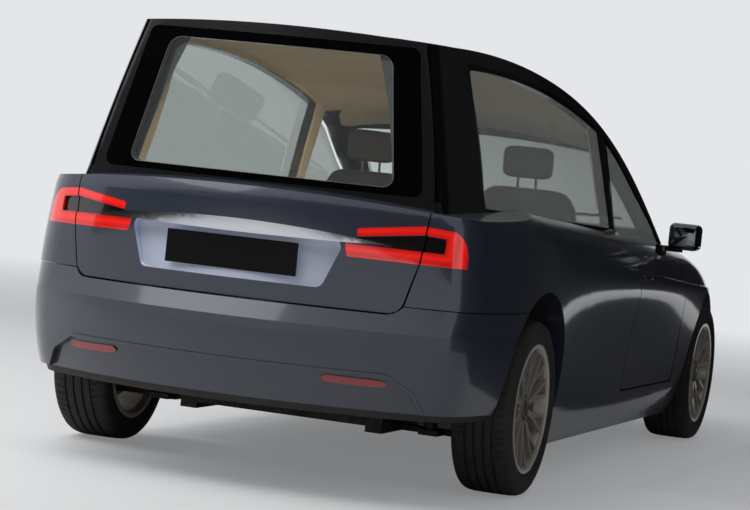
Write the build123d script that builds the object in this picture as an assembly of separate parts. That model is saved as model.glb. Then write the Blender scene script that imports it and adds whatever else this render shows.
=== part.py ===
"""Electric hearse on a stretched saloon base: body, glass, lamps, cabin, running gear and wheels.

Millimetres. The origin is on the ground under the middle of the car. +Y is the rear, +X the
car's left side, +Z is up. Each sub-part is written as one STEP file named after it.
"""
from build123d import *
from functools import cache
import math
import os

os.makedirs("parts", exist_ok=True)

# Wheelbase and wheels
FRONT_AXLE = -1830
REAR_AXLE = 1670
FRONT_TRACK = 1662
REAR_TRACK = 1700
TYRE_RADIUS = 351.5
TYRE_WIDTH = 245
TYRE_BEAD = 243
RIM_LIP = 258
RUN_GAP = 0.3

# Wheel openings: radius and centre of each arch
FRONT_ARCH = 420
REAR_ARCH = 430
FRONT_ARCH_Y = FRONT_AXLE
FRONT_ARCH_Z = 352
REAR_ARCH_Y = REAR_AXLE - 25
REAR_ARCH_Z = 388
LINER = 5

# Panel thicknesses and shut gaps
DOOR_WALL = 70
SKIN = 28
ROOF_WALL = 45
GLASS = 5
DOOR_GAP = 8
SHUT_GAP = 6
SEAM = 4
LAMP_DEPTH = 10

# Rear bumper: the raised lip round its lower panel, the hollow inside it, and the valance below
LIP = 5
LIP_ROOT = 4
LIP_BAND = 13
CREASE = 12
BUMPER_TUCK = 16
VALANCE_INSET = 18
UNDERTRAY = 6

# Heights that several panels share
FLOOR_BOTTOM = 150
SILL_TOP = 330
BUMPER_SEAM = 740
BUMPER_RIDGE = 640
BUMPER_BOTTOM = 345
VALANCE_BOTTOM = 318
LID_BOTTOM = 710
BELT = 1057
BELT_RISE = 0.045

# Shut lines along the car
DOOR_FRONT = -1170
DOOR_REAR = -120
HOOD_REAR = -1410
NOSE_SEAM = -2330
TAILGATE_TOP = 2300
TAILGATE_HALF = 706

# Turning parts
HINGE_X = 898
HINGE_Y = DOOR_FRONT + 80
HINGE_HEIGHTS = (480, 800)
HOOD_AXIS = (-1470, 940)
GATE_AXIS = (2190, 1708)
PIN = 7
SMALL_PIN = 6
STEER_X = 770

LEFT, RIGHT = 1, -1
SIDES = (("left", LEFT), ("right", RIGHT))

# Flank outlines seen from above, one row a level. Half widths are given at the front arch,
# the doors and the rear arch; nose and tail give the middle, then the corner before rounding.
# Columns: height at Y 0, rise per mm of length, half widths, nose, nose corner, tail, tail corner
FLANK_ROWS = (
    (150, 0.000, (850, 850, 860), -2600, (720, -2430), 2560, (760, 2330)),
    (330, 0.000, (925, 915, 945), -2735, (800, -2470), 2630, (830, 2400)),
    (520, 0.000, (952, 925, 975), -2760, (830, -2480), 2660, (875, 2420)),
    (700, 0.000, (960, 950, 982), -2720, (820, -2440), 2668, (890, 2432)),
    (905, 0.060, (940, 945, 962), -2690, (800, -2420), 2645, (870, 2410)),
)
SHOULDER_ROWS = (
    FLANK_ROWS[-1],
    (985, 0.053, (895, 905, 925), -2640, (760, -2370), 2620, (850, 2395)),
    (BELT, BELT_RISE, (775, 798, 795), -2540, (660, -2250), 2570, (760, 2370)),
)
BUMPER_ROWS = (
    (150, 0.000, (850, 850, 860), -2600, (720, -2430), 2570, (750, 2350)),
    (330, 0.000, (925, 915, 945), -2735, (800, -2470), 2694, (835, 2430)),
    (500, 0.000, (952, 925, 975), -2760, (830, -2480), 2738, (868, 2452)),
    (BUMPER_RIDGE, 0.000, (960, 948, 981), -2720, (820, -2440), 2744, (877, 2458)),
)
BUMPER_STEP_ROWS = (
    BUMPER_ROWS[-1],
    (BUMPER_SEAM - SEAM, 0.000, (960, 950, 982), -2720, (820, -2440), 2670, (886, 2430)),
)
# The plate's recess in the lid, whose floor leans in towards the top
RECESS_ROWS = (
    (740, 0.000, (950, 940, 970), -2700, (810, -2430), 2646, (880, 2412)),
    (980, 0.000, (930, 930, 950), -2680, (790, -2410), 2594, (862, 2360)),
)

# Arched surfaces along the car. Columns: Y, height in the middle, height 1000 mm to the side
HOOD_ROWS = (
    (-2900, 470, 340),
    (-2760, 605, 480),
    (-2620, 705, 585),
    (-2180, 872, 761),
    (-1720, 1000, 889),
    (-1232, 1073, 962),
    (-1000, 1098, 987),
)
DECK_ROWS = (
    (1400, 1176, 1106),
    (1974, 1147, 1077),
    (2400, 1131, 1061),
    (2800, 1112, 1042),
)
ROOF_ROWS = (
    (-1900, 800, 630),
    (-1232, 1107, 940),
    (-330, 1534, 1370),
    (350, 1668, 1580),
    (1000, 1738, 1665),
    (1600, 1762, 1690),
    (2360, 1742, 1668),
    (2760, 1722, 1648),
)
# Glasshouse outlines seen from above. Columns: height, half widths at the front, middle and
# tail corner, Y of the tail corner, Y of the middle of the tail
GLASSHOUSE_ROWS = (
    (880, (795, 838, 785), 2431, 2550),
    (1400, (687, 730, 677), 2352, 2440),
    (1920, (558, 601, 548), 2256, 2314),
)


def belt_height(y):
    """Height of the body's upper edge at a place along the car."""
    return BELT + BELT_RISE * y


def plan_cut(face, low, high):
    """A prism standing on a face drawn from above."""
    return extrude(Plane.XY.offset(low) * face, amount=high - low)


def side_cut(face, inner, outer, side):
    """A prism on one side of the car from a face drawn in Y and Z."""
    prism = extrude(Plane.YZ.offset(inner) * face, amount=outer - inner)
    return prism if side == LEFT else mirror(prism, about=Plane.YZ)


def through_cut(face, half=1200):
    """A prism across the whole car from a face drawn in Y and Z."""
    return extrude(Plane.YZ.offset(-half) * face, amount=2 * half)


def rear_cut(face, front, rear):
    """A prism along the car from a face drawn in X and Z."""
    return extrude(Plane.XZ.offset(-rear) * face, amount=rear - front)


def block(x, y, z):
    """A block between pairs of limits."""
    size = [high - low for low, high in (x, y, z)]
    middle = [(high + low) / 2 for low, high in (x, y, z)]
    return Pos(*middle) * Box(*size)


def both(solid):
    """A piece and its twin on the other side."""
    return [solid, mirror(solid, about=Plane.YZ)]


def rod(start, end, radius):
    """A round bar between two points."""
    axis = Vector(*end) - Vector(*start)
    return Solid.make_cylinder(radius, axis.length, Plane(origin=start, z_dir=axis))


def across(radius, y, z, inner, outer, side=LEFT):
    """A round bar across the car at a place seen from the side."""
    return rod((side * inner, y, z), (side * outer, y, z), radius)


def save(name, shape):
    """Write one sub-part, of one solid or several, as a STEP file."""
    solids = []
    for item in shape if isinstance(shape, (list, tuple)) else [shape]:
        solids += item.solids()
    export_step(Compound(children=[Part() + s for s in solids]) if len(solids) > 1 else solids[0],
                f"parts/{name}.step")


def flank_outline(row, inset):
    """One level of the body: arcs for the flanks, nose and tail with rounded corners."""
    height, rise, halves, nose, nose_corner, tail, tail_corner = row
    front, mid, rear = (half - inset for half in halves)
    nose_x, nose_y = nose_corner[0] - inset, nose_corner[1] + inset
    tail_x, tail_y = tail_corner[0] - inset, tail_corner[1] - inset
    flank = ThreePointArc((front, -1500), (mid, 0), (rear, 1500))
    rear_arc = TangentArc((rear, 1500), (tail_x, tail_y), tangent=flank % 1)
    front_arc = TangentArc((front, -1500), (nose_x, nose_y), tangent=-(flank % 0))
    tail_end = ThreePointArc((tail_x, tail_y), (0, tail - inset), (-tail_x, tail_y))
    nose_end = ThreePointArc((-nose_x, nose_y), (0, nose + inset), (nose_x, nose_y))
    mirrored = [mirror(edge, about=Plane.YZ) for edge in (flank, rear_arc, front_arc)]
    face = make_face([flank, rear_arc, front_arc, tail_end, nose_end] + mirrored)
    tails = [v for v in face.vertices() if abs(v.Y - tail_y) < 0.01 and abs(v.X) > 500]
    face = fillet(tails, 250 - inset)
    noses = [v for v in face.vertices() if abs(v.Y - nose_y) < 0.01 and abs(v.X) > 500]
    face = fillet(noses, 330 - inset)
    lean = math.atan(rise)
    level = Plane(origin=(0, 0, height), x_dir=(1, 0, 0), z_dir=(0, -math.sin(lean), math.cos(lean)))
    return (level * face).face()


@cache
def flank_form(rows, inset=0):
    """A solid through the flank outlines."""
    return loft([flank_outline(row, inset) for row in rows])


def arched_form(rows, drop=0, half=1000, bottom=100):
    """Everything under an arched surface that runs along the car."""
    faces = []
    for y, middle, edge in rows:
        middle, edge = middle - drop, edge - drop
        sides = Polyline((half, edge), (half, bottom), (-half, bottom), (-half, edge))
        top = ThreePointArc((-half, edge), (0, middle), (half, edge))
        faces.append((Plane.XZ.offset(-y) * make_face([sides, top])).face())
    return loft(faces)


@cache
def glasshouse_form(inset=0, drop=None):
    """The cabin above the belt: leaning sides and tail under the arched roof."""
    faces = []
    for height, halves, corner_y, tail in GLASSHOUSE_ROWS:
        front, mid, corner = (half - inset for half in halves)
        corner_y, tail = corner_y - inset, tail - inset
        side = ThreePointArc((front, -1900), (mid, 0), (corner, corner_y))
        tail_end = ThreePointArc((corner, corner_y), (0, tail), (-corner, corner_y))
        ahead = Line((-front, -1900), (front, -1900))
        face = make_face([side, tail_end, mirror(side, about=Plane.YZ), ahead])
        corners = [v for v in face.vertices() if v.Y > 0]
        face = fillet(corners, max(60 - inset, 15))
        faces.append((Plane.XY.offset(height) * face).face())
    return loft(faces) & arched_form(ROOF_ROWS, inset if drop is None else drop)


def lower_form(inset=0, drop=0):
    """The body below the belt, under the hood's and the rear deck's arched surfaces."""
    form = flank_form(FLANK_ROWS, inset) + flank_form(SHOULDER_ROWS, inset)
    top = form.faces().filter_by(lambda face: face.normal_at().Z > 0.9).sort_by(SortBy.AREA)[-1]
    cap = extrude(top, amount=120, dir=(0, 0, 1)) & block((-900, 900), (-2600, -1150), (800, 1300))
    form += cap
    form -= block((-1100, 1100), (-2900, -1140), (330, 1400)) - arched_form(HOOD_ROWS, drop)
    form -= block((-1100, 1100), (1450, 2790), (900, 1400)) - arched_form(DECK_ROWS, drop)
    return form


lower = lower_form()
inner_skin = lower_form(SKIN, SKIN)
inner_wall = lower_form(DOOR_WALL, SKIN)
house = glasshouse_form()
house_inner = glasshouse_form(ROOF_WALL)
skin_shell = lower - inner_skin
wall_shell = lower - inner_wall - house_inner
upper_shell = house - lower - house_inner


def door_outline(grow=0):
    """A front door seen from the side, or the hole that it leaves."""
    front, rear, low = DOOR_FRONT - grow, DOOR_REAR + grow, SILL_TOP + DOOR_GAP - grow
    corners = [(front, low), (rear, low), (rear, 1300), (front, 1300)]
    return make_face(FilletPolyline(corners, radius=40, close=True))


def door_top_outline(grow=0):
    """The door above the belt: along the windshield pillar and under the roof rail."""
    points = [(-1128, 900), (-1128, 1012), (-980, 1103), (-616, 1262), (-330, 1400), (-120, 1474), (-120, 900)]
    face = make_face(Polyline(points, close=True))
    return offset(face, grow, kind=Kind.INTERSECTION) if grow else face


def side_glass_outline(grow=0):
    """The long rear side window: straight belt, arched top, rounded rear corners."""
    front_top = (34 - grow, 1502 + grow)
    rear_top = (1948 + grow, 1652 + grow)
    rear_low = (1930 + grow, belt_height(1930) - 20 - grow)
    front_low = (-22 - grow, belt_height(-22) + 18 - grow)
    top = ThreePointArc(front_top, (950, 1628 + grow), rear_top)
    rear = ThreePointArc(rear_top, (1902 + grow, 1400), rear_low)
    face = make_face([top, rear, Line(rear_low, front_low), Line(front_low, front_top)])
    rears = [v for v in face.vertices() if v.X > 1000]
    return fillet(rears, 45)


def windshield_outline(grow=0):
    """The windshield seen from above, from the cowl to the roof's front edge."""
    cowl = ThreePointArc((-722, -1262), (0, -1420), (722, -1262))
    header = ThreePointArc((598, -372), (0, -452), (-598, -372))
    face = make_face([cowl, Line((722, -1262), (598, -372)), header, Line((-598, -372), (-722, -1262))])
    return offset(face, grow) if grow else face


def hood_outline(grow=0):
    """The hood seen from above."""
    nose = ThreePointArc((-560, -2480), (0, -2640), (560, -2480))
    rear = ThreePointArc((722, HOOD_REAR + 20), (0, HOOD_REAR), (-722, HOOD_REAR + 20))
    flank = ThreePointArc((560, -2480), (700, -1980), (722, HOOD_REAR + 20))
    face = make_face([nose, flank, rear, mirror(flank, about=Plane.YZ)])
    return offset(face, grow) if grow else face


def hood_sweep():
    """The room that the hood's rear edge needs as it swings down behind its hinges."""
    reach = [(0, 135.5), (150, 134), (300, 129), (450, 121), (600, 111.5), (735, 104)]
    rim = [(x, radius + SHUT_GAP) for x, radius in reach]
    rim = [(-x, radius) for x, radius in reversed(rim)] + rim[1:]
    face = make_face(Polyline([(rim[0][0], 0)] + rim + [(rim[-1][0], 0)], close=True))
    return Pos(0, *HOOD_AXIS) * revolve(face, Axis.X)


def rear_window_outline():
    """The clear part of the rear glass seen from behind."""
    corners = [(-540, 1168), (540, 1168), (452, 1662), (-452, 1662)]
    return make_face(FilletPolyline(corners, radius=45, close=True))


def rear_pane_outline(grow=0):
    """The rear glass with its black edge, seen from behind."""
    corners = [(-652 - grow, 1142 - grow), (652 + grow, 1142 - grow), (548 + grow, 1700 + grow),
               (-548 - grow, 1700 + grow)]
    return make_face(FilletPolyline(corners, radius=35, close=True))


def frame_zone(grow=0):
    """The tail of the glasshouse that lifts with the tailgate."""
    edge = [(TAILGATE_TOP - grow, 1900), (TAILGATE_TOP - grow, 1730), (2408 - grow, 1120), (2408 - grow, 1000),
            (2900, 1000), (2900, 1900)]
    return through_cut(make_face(Polyline(edge, close=True)))


def lid_zone(grow=0):
    """The painted lid under the rear glass, down to the bumper."""
    half = TAILGATE_HALF + grow
    low = LID_BOTTOM - grow
    points = [(-half + 56, low), (half - 56, low), (half - 10, 905), (half, 1060), (half, 1160),
              (-half, 1160), (-half, 1060), (-half + 10, 905)]
    face = make_face(Polyline(points, close=True))
    face = fillet([v for v in face.vertices() if v.Y < LID_BOTTOM + 1], 58 + grow)
    return rear_cut(face, 2390 - grow, 2900)


def lamp_zone():
    """One wrap-round tail lamp seen from behind."""
    points = [(440, 902), (900, 897), (900, 1010), (800, 1031), (700, 1041), (466, 1009), (470, 978), (430, 950)]
    lamp = rear_cut(make_face(FilletPolyline(points, radius=9, close=True)), 2408, 2900)
    return lamp + mirror(lamp, about=Plane.YZ)


def headlamp_zone(grow=0):
    """The headlamps seen from above, running back into the fenders."""
    points = [(500, -2700), (590, -2540), (745, -2300), (850, -2190), (960, -2150), (960, -2700)]
    face = make_face(Polyline(points, close=True))
    return offset(face, grow) if grow else face


def cowl_outline():
    """The panel between the hood and the windshield, seen from above."""
    front = ThreePointArc((-735, HOOD_REAR + 26), (0, HOOD_REAR + 6), (735, HOOD_REAR + 26))
    rear = Polyline((735, HOOD_REAR + 26), (735, -1160), (-735, -1160), (-735, HOOD_REAR + 26))
    return make_face([front, rear])


# Tools that cut the panels apart
cowl_tool = plan_cut(cowl_outline(), 800, 1400)
front_arch = both(across(FRONT_ARCH, FRONT_ARCH_Y, FRONT_ARCH_Z, 480, 1100))
rear_arch = both(across(REAR_ARCH, REAR_ARCH_Y, REAR_ARCH_Z, 480, 1100))
sweep_radius = math.hypot(HINGE_Y - DOOR_FRONT, 956 - HINGE_X) + 5
door_sweep = rod((HINGE_X, HINGE_Y, 100), (HINGE_X, HINGE_Y, 1010), sweep_radius)
headlamp_tool = Part() + both(plan_cut(headlamp_zone(), 590, 800))
headlamp_gap = Part() + both(plan_cut(headlamp_zone(SEAM), 590 - SEAM, 800))
hood_gap = plan_cut(hood_outline(SHUT_GAP), 400, 1300)
lid_gap = lid_zone(SHUT_GAP)
frame_gap = frame_zone(2 * SHUT_GAP)


def keep(shape, least=20000):
    """Solids of a cut that are larger than a crumb."""
    return [s for s in shape.solids() if s.volume > least]


# Doors: wall, window frame, pockets and bores of the hinges, and the glass
door = (wall_shell & side_cut(door_outline(), 500, 1100, LEFT)).solids().sort_by(SortBy.VOLUME)[-1]
glass_slot = glasshouse_form(-RUN_GAP, 0) - glasshouse_form(GLASS + RUN_GAP, 0)
door -= glass_slot & block((0, 1100), (-1200, 0), (934, 1200))
door += upper_shell & side_cut(door_top_outline(-10), 400, 1100, LEFT)
door += (upper_shell - glasshouse_form(12)) & side_cut(door_top_outline(), 400, 1100, LEFT)
window = side_cut(door_top_outline(-26), 400, 1100, LEFT)
door -= window & block((0, 1100), (-1200, 0), (1000, 1600)) - lower
door -= (side_cut(door_top_outline(-14), 400, 1100, LEFT) - glasshouse_form(GLASS + RUN_GAP, 0)) - lower
for height in HINGE_HEIGHTS:
    door -= block((HINGE_X - 200, HINGE_X + 16.5), (HINGE_Y - 200, HINGE_Y + 16.5), (height - 5, height + 15))
    door -= rod((HINGE_X, HINGE_Y, height - 35), (HINGE_X, HINGE_Y, height + 45), PIN + RUN_GAP)
door = door.solids().sort_by(SortBy.VOLUME)[-1]
pane = house - glasshouse_form(GLASS, 0)
door_glass = pane & side_cut(door_top_outline(-14.3), 400, 1100, LEFT) & block((0, 1100), (-1200, 0), (935, 1700))
mirror_shell = Pos(1003, -775, 1062) * Box(150, 110, 128)
mirror_shell = fillet(mirror_shell.edges(), 28)
mirror_shell += block((880, 990), (-810, -765), (985, 1012)) + block((870, 905), (-840, -740), (960, 1012))
mirror_shell -= door
for name, side in SIDES:
    save(f"{name}_door", door if side == LEFT else mirror(door, about=Plane.YZ))
    save(f"{name}_door_glass", door_glass if side == LEFT else mirror(door_glass, about=Plane.YZ))
    save(f"{name}_mirror", keep(mirror_shell if side == LEFT else mirror(mirror_shell, about=Plane.YZ)))

# Fixed sides of the body
quarter = wall_shell & block((0, 1100), (DOOR_REAR + DOOR_GAP, 2900), (SILL_TOP, 1400))
quarter -= block((0, 1100), (REAR_ARCH_Y, 2900), (100, BUMPER_SEAM))
quarter -= rear_arch[0]
quarter -= lid_gap
quarter -= lamp_zone()
save("quarter_panels", both(keep(quarter)[0]))
sill = flank_form(FLANK_ROWS) & block((720, 1100), (-1450, 1260), (FLOOR_BOTTOM, SILL_TOP))
sill -= front_arch[0]
sill -= rear_arch[0]
save("sills", both(keep(sill)[0]))
fender = skin_shell & block((0, 1100), (NOSE_SEAM + SEAM, DOOR_FRONT - DOOR_GAP), (SILL_TOP, 1400))
fender -= hood_gap
fender -= front_arch[0]
fender -= headlamp_gap
fender -= door_sweep
fender -= cowl_tool
save("front_fenders", both(fender.solids().sort_by(SortBy.VOLUME)[-1]))

# Nose
hood = skin_shell & plan_cut(hood_outline(), 400, 1300)
lug_side = [(HOOD_AXIS[0] - 14, HOOD_AXIS[1]), (HOOD_AXIS[0] + 14, HOOD_AXIS[1]), (HOOD_AXIS[0] + 26, 985),
            (HOOD_AXIS[0] - 50, 985)]
lug = side_cut(make_face(Polyline(lug_side, close=True)), 562, 574, LEFT)
lug += across(14, *HOOD_AXIS, 562, 574)
lug -= across(SMALL_PIN + RUN_GAP, *HOOD_AXIS, 560, 576)
for piece in both(lug):
    hood += piece
save("hood", hood.solids().sort_by(SortBy.VOLUME)[-1])
nose = skin_shell & block((-1100, 1100), (-2900, NOSE_SEAM), (FLOOR_BOTTOM, 1000))
nose -= hood_gap
nose -= headlamp_gap
for cut in front_arch:
    nose -= cut
mouth = make_face(FilletPolyline([(-430, 205), (430, 205), (370, 330), (-370, 330)], radius=18, close=True))
nose -= rear_cut(mouth, -2900, -2500)
duct = make_face(FilletPolyline([(520, 215), (760, 235), (730, 330), (530, 330)], radius=16, close=True))
for cut in both(rear_cut(duct, -2900, -2350)):
    nose -= cut
save("front_bumper", nose.solids().sort_by(SortBy.VOLUME)[-1])
headlamps = (skin_shell & headlamp_tool) - hood_gap
save("headlamps", keep(headlamps))
cowl = (skin_shell & cowl_tool) - hood_sweep()
save("cowl_panel", keep(cowl))

# Rear bumper with its step, and the dark panel under it
bumper_inner = flank_form(BUMPER_ROWS, SKIN) + flank_form(BUMPER_STEP_ROWS, SKIN)
bumper_inner &= block((-1100, 1100), (-2900, 2900), (100, LID_BOTTOM - SHUT_GAP - BUMPER_TUCK))
bumper = flank_form(BUMPER_ROWS) + flank_form(BUMPER_STEP_ROWS) - bumper_inner
bumper &= block((-1100, 1100), (REAR_ARCH_Y, 2900), (BUMPER_BOTTOM, BUMPER_SEAM))
crease = [(-790, 300), (790, 300), (735, 425), (640, 487), (-640, 487), (-735, 425)]
crease = FilletPolyline(crease, radius=40, close=True)
lip = rear_cut(make_face(crease), 2300, 2900) & (flank_form(BUMPER_ROWS, -LIP) - flank_form(BUMPER_ROWS, LIP_ROOT))
bumper += lip & block((-1100, 1100), (2300, 2900), (BUMPER_BOTTOM, BUMPER_RIDGE))
hollow = rear_cut(offset(make_face(crease), -LIP_BAND), 2300, 2900)
bumper -= hollow - flank_form(BUMPER_ROWS, CREASE)
valance_skin = flank_form(BUMPER_ROWS, VALANCE_INSET)
valance = valance_skin - flank_form(BUMPER_ROWS, VALANCE_INSET + SKIN)
valance += block((-560, 560), (2060, 2900), (VALANCE_BOTTOM, VALANCE_BOTTOM + UNDERTRAY)) & valance_skin
valance &= block((-1100, 1100), (REAR_ARCH_Y, 2900), (VALANCE_BOTTOM, BUMPER_BOTTOM))
for cut in rear_arch:
    bumper -= cut
    valance -= cut
for cut in both(across(REAR_ARCH + LINER + 2, REAR_ARCH_Y, REAR_ARCH_Z, 480, 915)):
    bumper -= cut
bumper -= block((-800, 800), (0, 2440), (BUMPER_RIDGE + 5, 900))
bumper -= lid_gap
reflector = make_face(FilletPolyline([(402, 450), (440, 436), (610, 434), (652, 446), (620, 460), (430, 464)], radius=6,
                                     close=True))
reflectors = []
for cut in both(rear_cut(reflector, 2560, 2900)):
    reflectors += keep(cut & (flank_form(BUMPER_ROWS, 6) - valance_skin), 1000)
    bumper -= cut - valance_skin
save("rear_bumper", bumper.solids().sort_by(SortBy.VOLUME)[-1])
save("rear_valance", valance.solids().sort_by(SortBy.VOLUME)[-1])

# Glasshouse: roof with its pillars, and the fixed glass let into it
windshield = house - glasshouse_form(-1, GLASS + 1)
windshield = (windshield & plan_cut(windshield_outline(14), 850, 1650)) - lower
side_pane = pane & side_cut(side_glass_outline(22), 400, 1100, LEFT)
side_pane -= lower
roof = upper_shell - frame_gap
roof -= plan_cut(windshield_outline(-16), 850, 1650)
roof -= plan_cut(windshield_outline(14), 850, 1650) - glasshouse_form(-1, GLASS + 1)
for side in (LEFT, RIGHT):
    roof -= side_cut(side_glass_outline(), 400, 1100, side)
    roof -= side_cut(side_glass_outline(22), 400, 1100, side) - glasshouse_form(GLASS, 0)
    roof -= side_cut(door_top_outline(DOOR_GAP), 400, 1100, side)
    belt_slot = [(DOOR_FRONT - 8, 850), (DOOR_FRONT - 8, belt_height(DOOR_FRONT) + 8),
                 (DOOR_REAR + 8, belt_height(DOOR_REAR) + 8), (DOOR_REAR + 8, 850)]
    roof -= side_cut(make_face(Polyline(belt_slot, close=True)), 400, 1100, side)
for side in (LEFT, RIGHT):
    notch = block((412, 448), (GATE_AXIS[0] - 17, TAILGATE_TOP), (1640, 1800))
    pin = across(SMALL_PIN, *GATE_AXIS, 405, 455)
    roof -= notch if side == LEFT else mirror(notch, about=Plane.YZ)
    roof += pin if side == LEFT else mirror(pin, about=Plane.YZ)
save("roof", roof.solids().sort_by(SortBy.VOLUME)[-1])
save("windshield", keep(windshield))
save("side_windows", both(keep(side_pane)[0]))

# Tailgate: lid, upper frame, glass, lamps and trim
frame = upper_shell & frame_zone()
for cut in both(block((TAILGATE_HALF - 8, 1100), (2200, 2700), (1000, 1104))):
    frame -= cut
frame -= rear_cut(rear_window_outline(), 2100, 2900)
frame -= rear_cut(rear_pane_outline(RUN_GAP), 2100, 2900) - glasshouse_form(GLASS + RUN_GAP, 0)
rear_window = pane & rear_cut(rear_pane_outline(), 2280, 2900)
lid = wall_shell & lid_zone()
lid -= lamp_zone()
plate_recess = make_face(FilletPolyline([(-362, 776), (362, 776), (432, 962), (-432, 962)], radius=34, close=True))
lid -= rear_cut(plate_recess, 2400, 2900) - flank_form(RECESS_ROWS)
lid += block((-250, 250), (2585, 2632), (816, 920))
lid += frame
tab = block((417, 443), (GATE_AXIS[0], TAILGATE_TOP + 25), (GATE_AXIS[1] - 10, GATE_AXIS[1] + 10))
tab += across(12, *GATE_AXIS, 417, 443)
tab -= across(SMALL_PIN + RUN_GAP, *GATE_AXIS, 410, 450)
for piece in both(tab):
    lid += piece
core = make_face(Polyline([(420, 949), (778, 944), (778, 1002), (700, 1009), (468, 979), (420, 975)], close=True))
core = rear_cut(fillet([v for v in core.vertices() if v.X > 770], 16), 2400, 2900)
lamps = (wall_shell & lamp_zone()) - ((core + mirror(core, about=Plane.YZ)) - flank_form(FLANK_ROWS, LAMP_DEPTH))
inner_lamps = lamps & lid_zone()
outer_lamps = lamps - lid_gap
save("tailgate_lamps", keep(inner_lamps))
save("tail_lamps", keep(outer_lamps) + reflectors)
save("rear_window", keep(rear_window))
save("number_plate", block((-262, 262), (2632, 2638), (806, 930)))
save("tailgate", lid.solids().sort_by(SortBy.VOLUME)[-1])

# Floor, firewall, posts and brackets that carry the panels
REAR_FLOOR = 540
LOAD_FLOOR = 690
HUB_Z = TYRE_RADIUS
floor = block((-720, 720), (-1300, 1150), (262, 282))
floor += block((-700, 700), (-1300, -1270), (262, 880))
floor += block((-480, 480), (1142, 1150), (262, REAR_FLOOR))
floor += block((-480, 480), (1142, 2440), (REAR_FLOOR, REAR_FLOOR + 12))
floor += block((-436, 436), (-2450, -1300), (480, 488))
floor += block((-640, 640), (-2480, -2440), (470, 560))
floor += block((-600, 600), (2380, 2420), (REAR_FLOOR - 60, REAR_FLOOR + 12))
skin_space = block((-1100, 1100), (-2900, -1240), (100, 1000)) & inner_skin
wall_space = block((-1100, 1100), (-1240, 2900), (100, 1000)) & inner_wall
brackets = [
    ((436, 1000), (-2342, -2312), (640, 660)),
    ((436, 1000), (-2478, -2442), (612, 632)),
    ((436, 1000), (-1330, -1300), (560, 580)),
    ((300, 420), (-2800, -2440), (500, 560)),
]
for side in (LEFT, RIGHT):
    parts = [
        ((436, 444), (-2200, -1300), (262, 780)),
        ((436, 444), (-2450, -2200), (262, 680)),
        ((470, 480), (-60, 1150), (282, LOAD_FLOOR)),
        ((470, 480), (1142, 2440), (REAR_FLOOR, LOAD_FLOOR)),
        ((660, 720), (-1190, -1060), (282, 930)),
        ((700, 775), (-1190, -1060), (340, 930)),
        ((540, 552), (HOOD_AXIS[0] - 17, -1300), (845, 875)),
        ((540, 552), (HOOD_AXIS[0] - 17, HOOD_AXIS[0] + 17), (845, HOOD_AXIS[1])),
        ((436, 560), (-1815, -1735), (715, 735)),
    ]
    for x, y, z in parts:
        piece = block(x, y, z)
        floor += piece if side == LEFT else mirror(piece, about=Plane.YZ)
    for x, y, z in brackets:
        piece = block(x, y, z)
        floor += (piece if side == LEFT else mirror(piece, about=Plane.YZ)) & skin_space
    tail_arm = block((420, 480), (2400, 2800), (500, 550))
    floor += (tail_arm if side == LEFT else mirror(tail_arm, about=Plane.YZ)) & bumper_inner
    for height in HINGE_HEIGHTS:
        leaf = block((770, HINGE_X), (HINGE_Y - 11, HINGE_Y + 11), (height, height + 10))
        leaf += rod((HINGE_X, HINGE_Y, height), (HINGE_X, HINGE_Y, height + 10), 11)
        leaf += rod((HINGE_X, HINGE_Y, height - 30), (HINGE_X, HINGE_Y, height + 40), PIN)
        floor += leaf if side == LEFT else mirror(leaf, about=Plane.YZ)
    hood_pin = across(17, *HOOD_AXIS, 540, 552) + across(SMALL_PIN, *HOOD_AXIS, 552, 582)
    floor += hood_pin if side == LEFT else mirror(hood_pin, about=Plane.YZ)
save("floor_pan", floor)
save("battery_pack", block((-640, 640), (-1150, 980), (FLOOR_BOTTOM + 2, 262)))
drive = fillet(block((-210, 210), (1560, 1790), (210, REAR_FLOOR)).edges().filter_by(Axis.X), 30)
save("drive_unit", drive)

# Wheel housings
liners = []
for arch_y, arch_z, radius, inner, space in (
        (FRONT_ARCH_Y, FRONT_ARCH_Z, FRONT_ARCH, 444, skin_space),
        (REAR_ARCH_Y, REAR_ARCH_Z, REAR_ARCH, 495, wall_space)):
    ring = across(radius + LINER, arch_y, arch_z, inner, 1000) - across(radius, arch_y, arch_z, inner - 5, 1010)
    ring = ring & block((0, 1100), (-2900, 2900), (340, 900)) & space
    liners.append(keep(ring)[0])
liners[1] += across(REAR_ARCH + 1, REAR_ARCH_Y, REAR_ARCH_Z, 495, 500) & block((0, 600), (1000, 2300), (552, 900))
liners[1] += block((498, 640), (1700, 1790), (LOAD_FLOOR, LOAD_FLOOR + 10))
save("wheel_liners", both(liners[0]) + both(liners[1]))


# Wheels: alloy rim with ten forked spokes, hub and brake disc, and the tyre
def turned(points):
    """A ring turned about the X axis from a profile in X and radius."""
    return revolve(Plane.XZ * make_face(Polyline(points, close=True)), Axis.X)


def tyre_form():
    """A low tyre: bead, bulged wall, shoulder and flat tread."""
    half = TYRE_WIDTH / 2
    outer = [(105, TYRE_BEAD + RUN_GAP), (105, RIM_LIP + 2), (half - 5, 280), (half, 302), (half - 5, 326),
             (half - 15, 341), (half - 32, 349), (half - 60, TYRE_RADIUS)]
    return turned(outer + [(-x, radius) for x, radius in reversed(outer)])


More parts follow.
